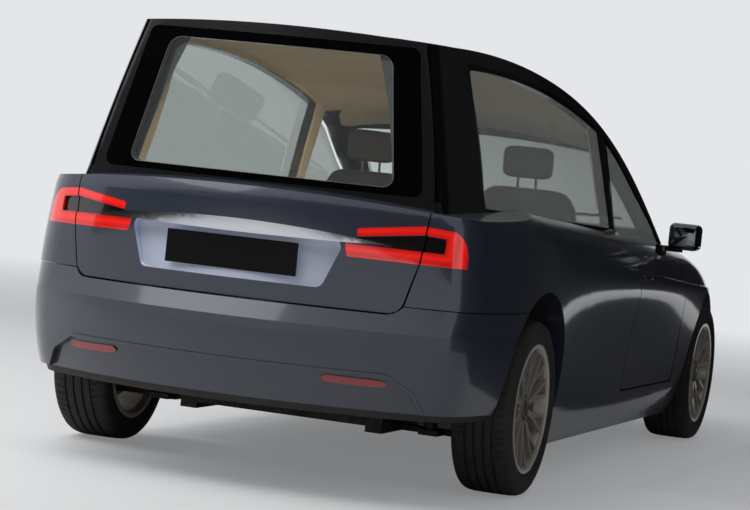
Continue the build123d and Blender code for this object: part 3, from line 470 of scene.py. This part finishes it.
def piece(name, points, faces, material, body, slot, sharp=40):
    """A new mesh that rides on a body, smooth between its sharp edges; points are in metres."""
    mesh = bpy.data.meshes.new(name)
    mesh.from_pydata([tuple(point) for point in points], [], faces)
    mesh.materials.append(material)
    mesh.polygons.foreach_set("use_smooth", [True] * len(mesh.polygons))
    mesh.set_sharp_from_angle(angle=math.radians(sharp))
    made = bpy.data.objects.new(name, mesh)
    scene.collection.objects.link(made)
    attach(made, body)
    return made


def skinned(rings, looped=False, capped=False):
    """Points and faces of a skin over closed rings; it can close on itself or have flat ends."""
    count = len(rings[0])
    points = [point for ring in rings for point in ring]
    faces = []
    for i in range(len(rings) - (0 if looped else 1)):
        first, second = i * count, (i + 1) % len(rings) * count
        for k in range(count):
            after = (k + 1) % count
            faces.append((first + k, first + after, second + after, second + k))
    if capped:
        faces.append(tuple(range(count))[::-1])
        faces.append(tuple(range(len(points) - count, len(points))))
    return points, faces


def tyre_ring(wheel_x, wheel_y, step):
    """The tyre's section at one step round it, with the cross cuts of that step."""
    ring = []
    for out, radius, cut in tyre_section:
        turn = math.tau * step / (PITCHES * STEPS) + SKEW * abs(out)
        plain = cut < SHOULDER_CUT and step // STEPS % 2
        depth = cut if step % STEPS == 0 and not plain else 0
        reach = (radius - depth) / 1000
        ring.append((wheel_x + math.copysign(out, wheel_x * (out or 1)) / 1000,
                     wheel_y + reach * math.cos(turn), HUB_Z + reach * math.sin(turn)))
    return ring


tyre_section = list(TYRE_HALF) + [(-out, radius, cut) for out, radius, cut in reversed(TYRE_HALF[:-1])]
for corner, (wheel_x, wheel_y) in CORNERS.items():
    rubber, tree, shader = surface(f"tyre_rubber_{corner}", Roughness=0.75)
    radius, out = round_wheel(tree, corner)
    ribs = put(tree, "Math", (radius, 1000 / RING_MM), operation="MULTIPLY")
    ribs = put(tree, "Math", (ribs, 0.5), operation="PINGPONG")
    wall = combined(tree, "MULTIPLY", ribs, put(tree, "MapRange", (radius, *WALL_EDGE)))
    height = put(tree, "Math", (wall, RING_HEIGHT, patches(tree, RUBBER_MM)), operation="MULTIPLY_ADD")
    wire(shader, {"Base Color": mottled(tree, "#131313", "#232220", 70, 6.0, 0.3, 0.8),
                  "Normal": put(tree, "Bump", {"Height": height, "Distance": 0.0008, "Strength": 1.0})})
    dress(rubber, f"{corner}_tyre")
    rings = [tyre_ring(wheel_x, wheel_y, step) for step in range(PITCHES * STEPS)]
    points, faces = skinned(rings, looped=True)
    tyre = piece(f"{corner}_grooved_tyre", points, faces, rubber, f"{corner}_wheel", "tyre", 50)
    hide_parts(f"{corner}_tyre")

# Wheel bolts and caps
# Five hexagon bolts of zinc-plated steel stand round a plain domed cap of moulded plastic. The plating
# is dull grey with darker smudges.
BOLT_COUNT = 5
BOLT_CIRCLE = 0.054
BOLT_TURN = 0.25  # of the way from one bolt to the next
# How far outboard of the wheel's middle each ring of the bolt or cap lies, and its radius.
BOLT_RINGS = ((0.074, 0.0125), (0.076, 0.0125), (0.0765, 0.0095), (0.086, 0.0095), (0.089, 0.0075))
CAP_RINGS = ((0.0885, 0.0325), (0.0905, 0.0325), (0.092, 0.0305), (0.0925, 0.028), (0.0912, 0.026),
             (0.0925, 0.018), (0.0932, 0.008))


def joined(*parts):
    """Several sets of points and faces as one."""
    points, faces = [], []
    for more_points, more_faces in parts:
        shift = len(points)
        points += more_points
        faces += [tuple(shift + index for index in face) for face in more_faces]
    return points, faces


def oval(middle, half_across, half_up, across, up, count=24, squareness=2.0):
    """A ring of points on an ellipse; a higher squareness gives a rounded rectangle."""
    power = 2 / squareness
    ring = []
    for k in range(count):
        turn = math.tau * k / count
        u = math.copysign(abs(math.cos(turn)) ** power, math.cos(turn)) * half_across
        v = math.copysign(abs(math.sin(turn)) ** power, math.sin(turn)) * half_up
        ring.append(Vector(middle) + u * Vector(across) + v * Vector(up))
    return ring


bright_steel, tree, shader = surface("zinc_plated_steel", Metallic=1.0, Roughness=0.35)
wire(shader, {"Base Color": mottled(tree, "#6d6c69", "#8b8a86", 9, 4.0, 0.3, 0.8)})
cap_plastic, tree, shader = surface("wheel_cap_plastic", Roughness=0.3, Coat_Weight=0.4)
wire(shader, {"Base Color": mottled(tree, "#37342f", "#454139", 20, 4.0, 0.3, 0.8)})
for corner, (wheel_x, wheel_y) in CORNERS.items():
    sign = math.copysign(1, wheel_x)
    bolts = []
    for k in range(BOLT_COUNT):
        turn = math.tau * (k + BOLT_TURN) / BOLT_COUNT
        at_y, at_z = wheel_y + BOLT_CIRCLE * math.cos(turn), HUB_Z + BOLT_CIRCLE * math.sin(turn)
        rings = [oval((wheel_x + sign * out, at_y, at_z), half, half, (0, 1, 0), (0, 0, 1), 6)
                 for out, half in BOLT_RINGS]
        bolts.append(skinned(rings, capped=True))
    piece(f"{corner}_wheel_bolts", *joined(*bolts), bright_steel, f"{corner}_wheel", "alloy", 20)
    rings = [oval((wheel_x + sign * out, wheel_y, HUB_Z), half, half, (0, 1, 0), (0, 0, 1), 32)
             for out, half in CAP_RINGS]
    piece(f"{corner}_wheel_cap", *skinned(rings, capped=True), cap_plastic, f"{corner}_wheel", "alloy", 30)

# Cabin
# The ceiling and pillars are lined with pale woven headlining. The load floor is dark carpet with
# brushed steel rails and rollers for the coffin.
THREAD_MM = 2.2
PILE_MM = 3
CARPET_TOP = 0.7105
PILE_ROUGH, STEEL_ROUGH = 0.92, 0.32
woven, tree, shader = surface("woven_headlining", Roughness=0.9, Sheen_Weight=0.3)
wire(shader, {"Base Color": mottled(tree, "#cdbd9e", "#d8c9ab", 150, 4.0, 0.3, 0.7),
              "Normal": grained(tree, THREAD_MM, 0.0005)})
dress(woven, "cabin_lining")
deck, tree, shader = surface("carpet_and_steel_rails")
steel = put(tree, "Math", (place(tree)["Z"], CARPET_TOP), operation="GREATER_THAN")
pile = mottled(tree, "#1c1b1b", "#2e2c2b", PILE_MM, 2.0, 0.0, 1.0)
wire(shader, {"Base Color": put(tree, "Mix", {FACTOR: steel, FIRST: pile, SECOND: "#a9abad"},
                                data_type="RGBA"),
              "Metallic": steel,
              "Roughness": put(tree, "Math", (steel, STEEL_ROUGH - PILE_ROUGH, PILE_ROUGH),
                               operation="MULTIPLY_ADD")})
dress(deck, "load_floor")

# Front seats
# Two armchairs in black leather with a low sheen: a cushion and a leaning back with side bolsters, and
# a head restraint on two posts. The covers are drawn in along sewn channels between the bolsters.
HIDE_MM = 2.0
SEAT_X = 0.38
CUTS = 13
EDGE_POWER, FACE_POWER, SWELL = 7, 3.4, 0.19
CROWN_FALL, BOLSTER_FALL = 0.4, 0.5
CHANNEL_DEPTH, CHANNEL_WIDTH = 0.011, 0.045
SEAM_DEPTH, SEAM_WIDTH = 0.010, 0.05
SEAM_AT, SEAM_POWER = 0.66, 8
BOLSTER_FROM, BOLSTER_RAMP = 0.55, 0.3
# Each pad's Y and Z, its size, lean in radians, crown, bolster, channels, and how full it is stuffed.
PADS = {
    "seat_cushion": ((-0.492, 0.468), (0.50, 0.49, 0.115), 0.045, 0.004, 0.014,
                     (-0.45, -0.1, 0.25, 0.6), 0.8),
    "seat_back": ((-0.146, 0.845), (0.485, 0.76, 0.088), 1.335, 0.004, 0.012,
                  (-0.6, -0.25, 0.1, 0.45), 0.75),
    "head_restraint": ((-0.029, 1.334), (0.235, 0.145, 0.078), 1.46, 0.004, 0.0, (), 0.85),
}
POST_SPREAD = 0.043
POST_PATH = ((-0.058, 1.17), (-0.045, 1.22), (-0.034, 1.29))
POST_RADIUS = 0.006
# Rings of the seat's base: height, half width and half depth.
BASE_Y = -0.49
BASE_RINGS = ((0.283, 0.176, 0.188), (0.300, 0.178, 0.190), (0.330, 0.150, 0.168), (0.380, 0.152, 0.172),
              (0.425, 0.205, 0.205))
hide, tree, shader = surface("black_leather", Roughness=0.5, Coat_Weight=0.1)
pores = put(tree, "TexVoronoi", {"Vector": put(tree, "TexCoord").outputs["Object"], "Scale": 1000 / HIDE_MM})
wire(shader, {"Base Color": mottled(tree, "#151414", "#22201f", 60, 5.0, 0.3, 0.8),
              "Normal": put(tree, "Bump", {"Height": pores, "Distance": 0.0004, "Strength": 1.0})})
dress(hide, "front_seats")
shell, tree, shader = surface("seat_shell_plastic", Roughness=0.55)
wire(shader, {"Base Color": mottled(tree, "#121212", "#1c1b1b", 30, 5.0, 0.3, 0.8),
              "Normal": grained(tree, GRAIN_MM, 0.0003)})


def tube(path, radii, count=12):
    """A round bar along points, with a radius at each."""
    path = [Vector(point) for point in path]
    rings = []
    for i, point in enumerate(path):
        ahead = (path[min(i + 1, len(path) - 1)] - path[max(i - 1, 0)]).normalized()
        side = ahead.orthogonal().normalized()
        if rings:
            side = (rings[-1][0] - path[i - 1]).normalized()
            side = (side - side.dot(ahead) * ahead).normalized()
        rings.append(oval(point, radii[i], radii[i], side, ahead.cross(side), count))
    return skinned(rings, capped=True)


def seat_pad(name, middle, size, lean, crown, bolster, channels, fill):
    """A stuffed pad: a rounded block, crowned, with raised sides and drawn-in channels."""
    shape = bmesh.new()
    bmesh.ops.create_cube(shape, size=2)
    bmesh.ops.subdivide_edges(shape, edges=shape.edges[:], cuts=CUTS, use_grid_fill=True)
    turn = Matrix.Rotation(lean, 3, "X")
    for vertex in shape.verts:
        u, v, w = vertex.co
        swell = (abs(u) ** EDGE_POWER + abs(v) ** EDGE_POWER + abs(w) ** FACE_POWER) ** SWELL
        u, v, w = u / swell, v / swell, w / swell
        rise = crown * (1 - v * v) * (1 - CROWN_FALL * u * u)
        raised = max(0.0, min(1.0, (abs(u) - BOLSTER_FROM) / BOLSTER_RAMP))
        rise += bolster * raised * (1 - BOLSTER_FALL * v * v)
        between = max(0.0, 1 - (abs(u) / SEAM_AT) ** SEAM_POWER)
        for line in channels:
            rise -= CHANNEL_DEPTH * math.exp(-((v - line) / CHANNEL_WIDTH) ** 2) * between
        rise -= SEAM_DEPTH * math.exp(-((abs(u) - SEAM_AT) / SEAM_WIDTH) ** 2)
        spot = Vector((u * size[0] / 2, v * size[1] / 2, w * size[2] / 2 + rise * max(w, 0.0)))
        vertex.co = turn @ spot + Vector(middle)
    mesh = bpy.data.meshes.new(name)
    shape.to_mesh(mesh)
    shape.free()
    mesh.polygons.foreach_set("use_smooth", [True] * len(mesh.polygons))
    mesh.materials.append(hide)
    made = bpy.data.objects.new(name, mesh)
    scene.collection.objects.link(made)
    made.modifiers.new("rounding", "SUBSURF").render_levels = 1
    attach(made, "body")
    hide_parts("front_seats")


for side, sign in (("left", 1), ("right", -1)):
    seat_x = sign * SEAT_X
    for pad, (at, *shape_and_fill) in PADS.items():
        seat_pad(f"{side}_{pad}", (seat_x, *at), *shape_and_fill)
    posts = [tube([(seat_x + x, at_y, at_z) for at_y, at_z in POST_PATH], (POST_RADIUS,) * len(POST_PATH))
             for x in (-POST_SPREAD, POST_SPREAD)]
    steel_posts = piece(f"{side}_restraint_posts", *joined(*posts), bright_steel, "body", "chrome")
    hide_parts("front_seats")
    rings = [oval((seat_x, BASE_Y, at_z), half_x, half_y, (1, 0, 0), (0, 1, 0), 40, 5.0)
             for at_z, half_x, half_y in BASE_RINGS]
    base = piece(f"{side}_seat_base", *skinned(rings, capped=True), shell, "body", "black_trim")
    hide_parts("front_seats")

# Mirror glasses
# A sheet of silvered glass stands on each door mirror's rear face. Its silver is smooth, with faint
# uneven smears.
MIRROR_X, MIRROR_Z = 1.003, 1.062
# How far behind the housing each ring of the glass lies, and its half width and half height.
MIRROR_RINGS = ((-0.0004, 0.0585, 0.0475), (0.0016, 0.058, 0.047), (0.0022, 0.0565, 0.0455))
SMEAR_ROUGH = 0.04
silver, tree, shader = surface("silvered_glass", Metallic=1.0, Coat_Weight=1.0)
wire(shader, {"Base Color": mottled(tree, "#6b7378", "#5f676c", 25, 3.0, 0.4, 0.9),
              "Roughness": combined(tree, "MULTIPLY", patches(tree, 40, 3.0), SMEAR_ROUGH)})
for side, sign in (("left", 1), ("right", -1)):
    low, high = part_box(f"{side}_mirror")
    rings = [oval((sign * MIRROR_X, high.y + rise, MIRROR_Z), half_x, half_z, (1, 0, 0), (0, 0, 1), 40, 4.0)
             for rise, half_x, half_z in MIRROR_RINGS]
    piece(f"{side}_mirror_glass", *skinned(rings, capped=True), silver, f"{side}_door", "glass")

# Door handles
# Chromed strips that lie flush along the doors. Their edges are let into the panel, so each ring of the
# strip is laid on the door's own skin.
HANDLE_Y, HANDLE_Z = -0.268, 0.862
HANDLE_HALF, HANDLE_RISE = 0.098, 0.0115
# Each ring's share of the full size, and how far it stands above the skin.
HANDLE_RINGS = ((1.0, -0.0006), (0.985, 0.0006), (0.93, 0.0019), (0.72, 0.0026), (0.4, 0.0028),
                (0.05, 0.0028))
BESIDE_DOOR = 1.3


def skin_at(node, start, towards):
    """Where a straight line meets a CAD node, and the surface's direction there."""
    hit, where, normal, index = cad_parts[node].ray_cast(Vector(start), Vector(towards))
    if not hit:
        raise ValueError(f"no surface of {node} from {start}")
    return where, normal


for side, sign in (("left", 1), ("right", -1)):
    rings = []
    for share, rise in HANDLE_RINGS:
        ring = []
        for spot in oval((0, HANDLE_Y, HANDLE_Z), HANDLE_HALF * share, HANDLE_RISE * share,
                         (0, 1, 0), (0, 0, 1), 48, 3.0):
            where, normal = skin_at(f"{side}_door", (sign * BESIDE_DOOR, spot.y, spot.z), (-sign, 0, 0))
            ring.append(where + normal * rise)
        rings.append(ring)
    piece(f"{side}_door_handle", *skinned(rings, capped=True), chrome, f"{side}_door", "chrome")

# Lid seal
# A black strip of foamed rubber lies along the bumper's shelf, where it closes the gap under the lid.
# It is an extruded section, dull all over.
SEAL_Y, SEAL_Z = 2.634, 0.707
SEAL_HALF, SEAL_RISE = 0.009, 0.0024
seal_rubber, tree, shader = surface("seal_rubber", Roughness=0.7)
wire(shader, {"Base Color": mottled(tree, "#0a0a0a", "#141414", 10, 4.0, 0.3, 0.8)})
rings = [oval((x, SEAL_Y + LID_BOW * x * x, SEAL_Z), SEAL_HALF, SEAL_RISE, (0, 1, 0), (0, 0, 1), 12)
         for x in (0.1 * k for k in range(-6, 7))]
piece("lid_seal", *skinned(rings, capped=True), seal_rubber, "body", "black_trim")

# Front grille
# Moulded black slats cross the bumper's mouth. Behind them and the side ducts runs one black shield, so
# that no light shows through.
GRILLE_LOW, GRILLE_HIGH = 0.2, 0.35
# Columns of the nose's skin: X, then how far ahead it lies at the low and at the high level.
NOSE_SKIN = ((-0.765, -2.392, -2.485), (-0.75, -2.400, -2.504), (-0.65, -2.489, -2.575),
             (-0.55, -2.538, -2.624), (-0.42, -2.583, -2.675), (-0.2, -2.631, -2.727), (0.0, -2.645, -2.742))
NOSE_SKIN += tuple((-x, low, high) for x, low, high in reversed(NOSE_SKIN[:-1]))
SHIELD_BACK = 0.055
SHIELD_THICK = 0.003
SLAT_BACK = 0.016
SLAT_HALF, SLAT_RISE = 0.011, 0.003
SLAT_LEVELS = (0.222, 0.246, 0.270, 0.294, 0.318)
MOUTH = slice(4, -4)
rings = []
for x, low, high in NOSE_SKIN:
    low, high = low + SHIELD_BACK, high + SHIELD_BACK
    rings.append([(x, low, GRILLE_LOW), (x, high, GRILLE_HIGH), (x, high + SHIELD_THICK, GRILLE_HIGH),
                  (x, low + SHIELD_THICK, GRILLE_LOW)])
piece("front_duct_shield", *skinned(rings, capped=True), matte, "body", "black_trim")
slats = []
for level in SLAT_LEVELS:
    rings = []
    for x, low, high in NOSE_SKIN[MOUTH]:
        skin_y = low + (high - low) * (level - GRILLE_LOW) / (GRILLE_HIGH - GRILLE_LOW)
        middle = (x, skin_y + SLAT_BACK, level)
        rings.append(oval(middle, SLAT_HALF, SLAT_RISE, (0, 1, 0), (0, 0, 1), 12, 3.0))
    slats.append(skinned(rings, capped=True))
piece("front_grille_slats", *joined(*slats), matte, "body", "black_trim")

# Wheelhouse shields
# Flat black mouldings close the inner side of each wheel opening below the liners, ahead of and
# behind the wheels. Each is a thin plate, given by its range of Y and Z.
SHIELD_PLATES = ((-1.455, -1.375, 0.16, 0.36), (1.195, 1.420, 0.165, 0.42), (1.960, 2.140, 0.30, 0.43))
SHIELD_X = 0.600
for side, sign in (("left", 1), ("right", -1)):
    plates = []
    for first, last, low, high in SHIELD_PLATES:
        outline = ((first, low), (last, low), (last, high), (first, high))
        rings = [[(sign * x, at_y, at_z) for at_y, at_z in outline]
                 for x in (SHIELD_X, SHIELD_X + SHIELD_THICK)]
        plates.append(skinned(rings, capped=True))
    piece(f"{side}_wheelhouse_shields", *joined(*plates), matte, "body", "black_trim")

# Wipers
# Two steel arms, painted dull black, rise from the cowl and lie along the foot of the windshield. Each
# carries a rubber blade that just clears the glass.
WIPERS = {"driver": ((0.50, -1.300), (-0.04, -1.285)), "passenger": ((-0.10, -1.350), (-0.56, -1.215))}
BLADE_STEPS = (0.12, 0.3, 0.5, 0.7, 0.9, 1.08)
BLADE_AHEAD = 0.075
BLADE_CLEAR = 0.010
BLADE_RADII = (0.004, 0.006, 0.008, 0.007, 0.005, 0.003)
RUBBER_DROP = 0.0058
RUBBER_RADII = (0.002, 0.0026, 0.0028, 0.0028, 0.0026, 0.002)
# Points of the arm: the blade's point that it heads for, how far along the way, and how far above it.
ARM_STEPS = ((1, 0.0, -0.004), (1, 0.0, 0.022), (1, 0.3, 0.022), (2, 0.75, 0.014), (2, 1.0, 0.004))
ARM_RADII = (0.014, 0.013, 0.008, 0.006, 0.005)
OVER_CAR = 2.5
wiper_black, tree, shader = surface("wiper_black", Roughness=0.45)
wire(shader, {"Base Color": mottled(tree, "#0c0c0c", "#181818", 15, 4.0, 0.3, 0.8)})


def over_glass(x, y):
    """A point of the blade, clear of the windshield along the glass's own direction."""
    where, normal = skin_at("windshield", (x, y, OVER_CAR), (0, 0, -1))
    return where + (normal if normal.z > 0 else -normal) * BLADE_CLEAR


def lifted(point, rise):
    """The point, moved up."""
    return point + Vector((0, 0, rise))


for name, ((foot_x, foot_y), (tip_x, tip_y)) in WIPERS.items():
    blade = [over_glass(foot_x + (tip_x - foot_x) * share, foot_y + BLADE_AHEAD + (tip_y - foot_y) * share)
             for share in BLADE_STEPS]
    rubber_edge = [lifted(point, -RUBBER_DROP) for point in blade]
    foot, normal = skin_at("cowl_panel", (foot_x, foot_y, OVER_CAR), (0, 0, -1))
    arm = [lifted(foot.lerp(blade[k], share), rise) for k, share, rise in ARM_STEPS]
    parts = [tube(blade, BLADE_RADII, 8), tube(rubber_edge, RUBBER_RADII, 6), tube(arm, ARM_RADII, 10)]
    piece(f"{name}_wiper", *joined(*parts), wiper_black, "body", "black_trim")

# Studio
# A plain pale floor that runs into a pale background, soft light from above and from the left, and weak
# light from the right and inside the cabin. Black flags and the lamp over the tail show in reflections.
BACKDROP = "#e4e6e9"
FLOOR_SIZE = 400
FLOOR_PATCH_MM = 2500
FLOOR_LIFT = 0.25
FADE = (3.5, 14.0)
bpy.ops.mesh.primitive_plane_add(size=FLOOR_SIZE)
floor = bpy.context.object
floor.name = "studio_floor"
ground, tree, shader = surface("pale_floor", Roughness=0.7)
wire(shader, {"Base Color": mottled(tree, "#d6d6d5", "#dededd", FLOOR_PATCH_MM, 2.0, 0.0, 1.0)})
x, y, z = place(tree)
reach = put(tree, "VectorMath", [put(tree, "CombineXYZ", (x, y))], operation="LENGTH")
far = put(tree, "MapRange", (reach, *FADE))
rays = put(tree, "LightPath").outputs
straight = put(tree, "Math", (rays["Is Camera Ray"], rays["Is Transmission Ray"]), operation="MAXIMUM")
in_sight = put(tree, "Math", (straight, rays["Is Glossy Ray"]), operation="MAXIMUM")
near_lift = put(tree, "Math", (straight, FLOOR_LIFT), operation="MULTIPLY")
far_lift = put(tree, "Math", (in_sight, far), operation="MULTIPLY")
lift = put(tree, "Math", (near_lift, far_lift), operation="MAXIMUM")
backdrop = put(tree, "Emission", {"Color": BACKDROP, "Strength": 1.0})
blend = put(tree, "MixShader", (lift, shader, backdrop))
wire(tree.nodes["Material Output"], {"Surface": blend})
floor.data.materials.append(ground)


def softbox(name, at, towards, size, power, colour="#ffffff", mirrored=False):
    """A square lamp that faces a point. The camera never sees it; paint and glass may mirror it."""
    lamp = bpy.data.lights.new(name, "AREA")
    lamp.size = size
    lamp.energy = power
    lamp.color = linear(colour)[:3]
    made = bpy.data.objects.new(name, lamp)
    scene.collection.objects.link(made)
    made.visible_camera = made.visible_transmission = False
    made.visible_glossy = mirrored
    made.location = at
    made.rotation_euler = (Vector(towards) - Vector(at)).to_track_quat("-Z", "Y").to_euler()


softbox("overhead", (3.4, 2.8, 5.6), (1.4, 1.6, 0), 7.0, 270)
softbox("over_tail", (2.2, 4.4, 5.0), (0.5, 2.6, 0.7), 3.0, 60, mirrored=True)
softbox("left_side", (8.5, 2.5, 4.0), (0, 0.5, 0.8), 4.0, 260)
softbox("right_side", (-7, 4, 3.5), (0, 0, 0.8), 4.0, 50)
softbox("cabin", (0, 0.9, 1.60), (0, 0.9, 0), 0.9, 17, "#fff1dc")

CLOTH_MM = 3
FLAGS = {
    "right": ((-5, 3.5, 0.01), (-5, -16.5, 0.01), (-5, -16.5, 12), (-5, 3.5, 12)),
    "front": ((-5.5, -16, 3), (6, -16, 3), (6, -16, 10), (-5.5, -16, 10)),
    "front_foot": ((-5.5, -15.9, 0.01), (0, -15.9, 0.01), (0, -15.9, 3.5), (-5.5, -15.9, 3.5)),
    "rear": ((-20, 15, 3.4), (26, 15, 3.4), (26, 15, 11), (-20, 15, 11)),
    "ground": ((-5.5, -9, 0.004), (-1.2, -9, 0.004), (-1.2, 0.8, 0.004), (-5.5, 0.8, 0.004)),
}
flag_cloth, tree, shader = surface("black_flag_cloth", Roughness=1.0)
wire(shader, {"Base Color": mottled(tree, "#050505", "#080808", CLOTH_MM, 2.0, 0.0, 1.0)})
for name, corners in FLAGS.items():
    mesh = bpy.data.meshes.new(f"{name}_flag")
    mesh.from_pydata(corners, [], [(0, 1, 2, 3)])
    mesh.materials.append(flag_cloth)
    flag = bpy.data.objects.new(f"{name}_flag", mesh)
    scene.collection.objects.link(flag)
    flag.visible_camera = flag.visible_diffuse = flag.visible_transmission = flag.visible_shadow = False

AIR = "#c4c8cf"
AIR_STRENGTH = 0.5
world = bpy.data.worlds.new("studio_world")
scene.world = world
world.use_nodes = True
tree = world.node_tree
air = tree.nodes["Background"]
wire(air, {"Color": AIR, "Strength": AIR_STRENGTH})
rays = put(tree, "LightPath").outputs
in_sight = combined(tree, "MAXIMUM", rays["Is Camera Ray"], rays["Is Glossy Ray"],
                    rays["Is Transmission Ray"])
pale = put(tree, "Background", {"Color": BACKDROP, "Strength": 1.0})
wire(tree.nodes["World Output"], {"Surface": put(tree, "MixShader", (in_sight, air, pale))})

# Camera
# It stands where the photograph's did: behind the car, to its right, at eye level and slightly tilted.
# Angles are in radians, the lens in millimetres.
EYE = Vector((-3.566, 11.807, 1.242))
YAW, PITCH, ROLL = 0.31657, -0.03339, 0.10674
LENS_MM = 126.75
ahead = Vector((math.sin(YAW) * math.cos(PITCH), -math.cos(YAW) * math.cos(PITCH), math.sin(PITCH)))
level = ahead.cross(Vector((0, 0, 1))).normalized()
upright = level.cross(ahead)
across = math.cos(ROLL) * level + math.sin(ROLL) * upright
upright = -math.sin(ROLL) * level + math.cos(ROLL) * upright
lens = bpy.data.cameras.new("photo_camera")
lens.lens = LENS_MM
lens.clip_end = 200
camera = bpy.data.objects.new("photo_camera", lens)
scene.collection.objects.link(camera)
camera.matrix_world = Matrix((
    (across.x, upright.x, -ahead.x, EYE.x), (across.y, upright.y, -ahead.y, EYE.y),
    (across.z, upright.z, -ahead.z, EYE.z), (0, 0, 0, 1)))
scene.camera = camera
scene.view_settings.view_transform = "Standard"
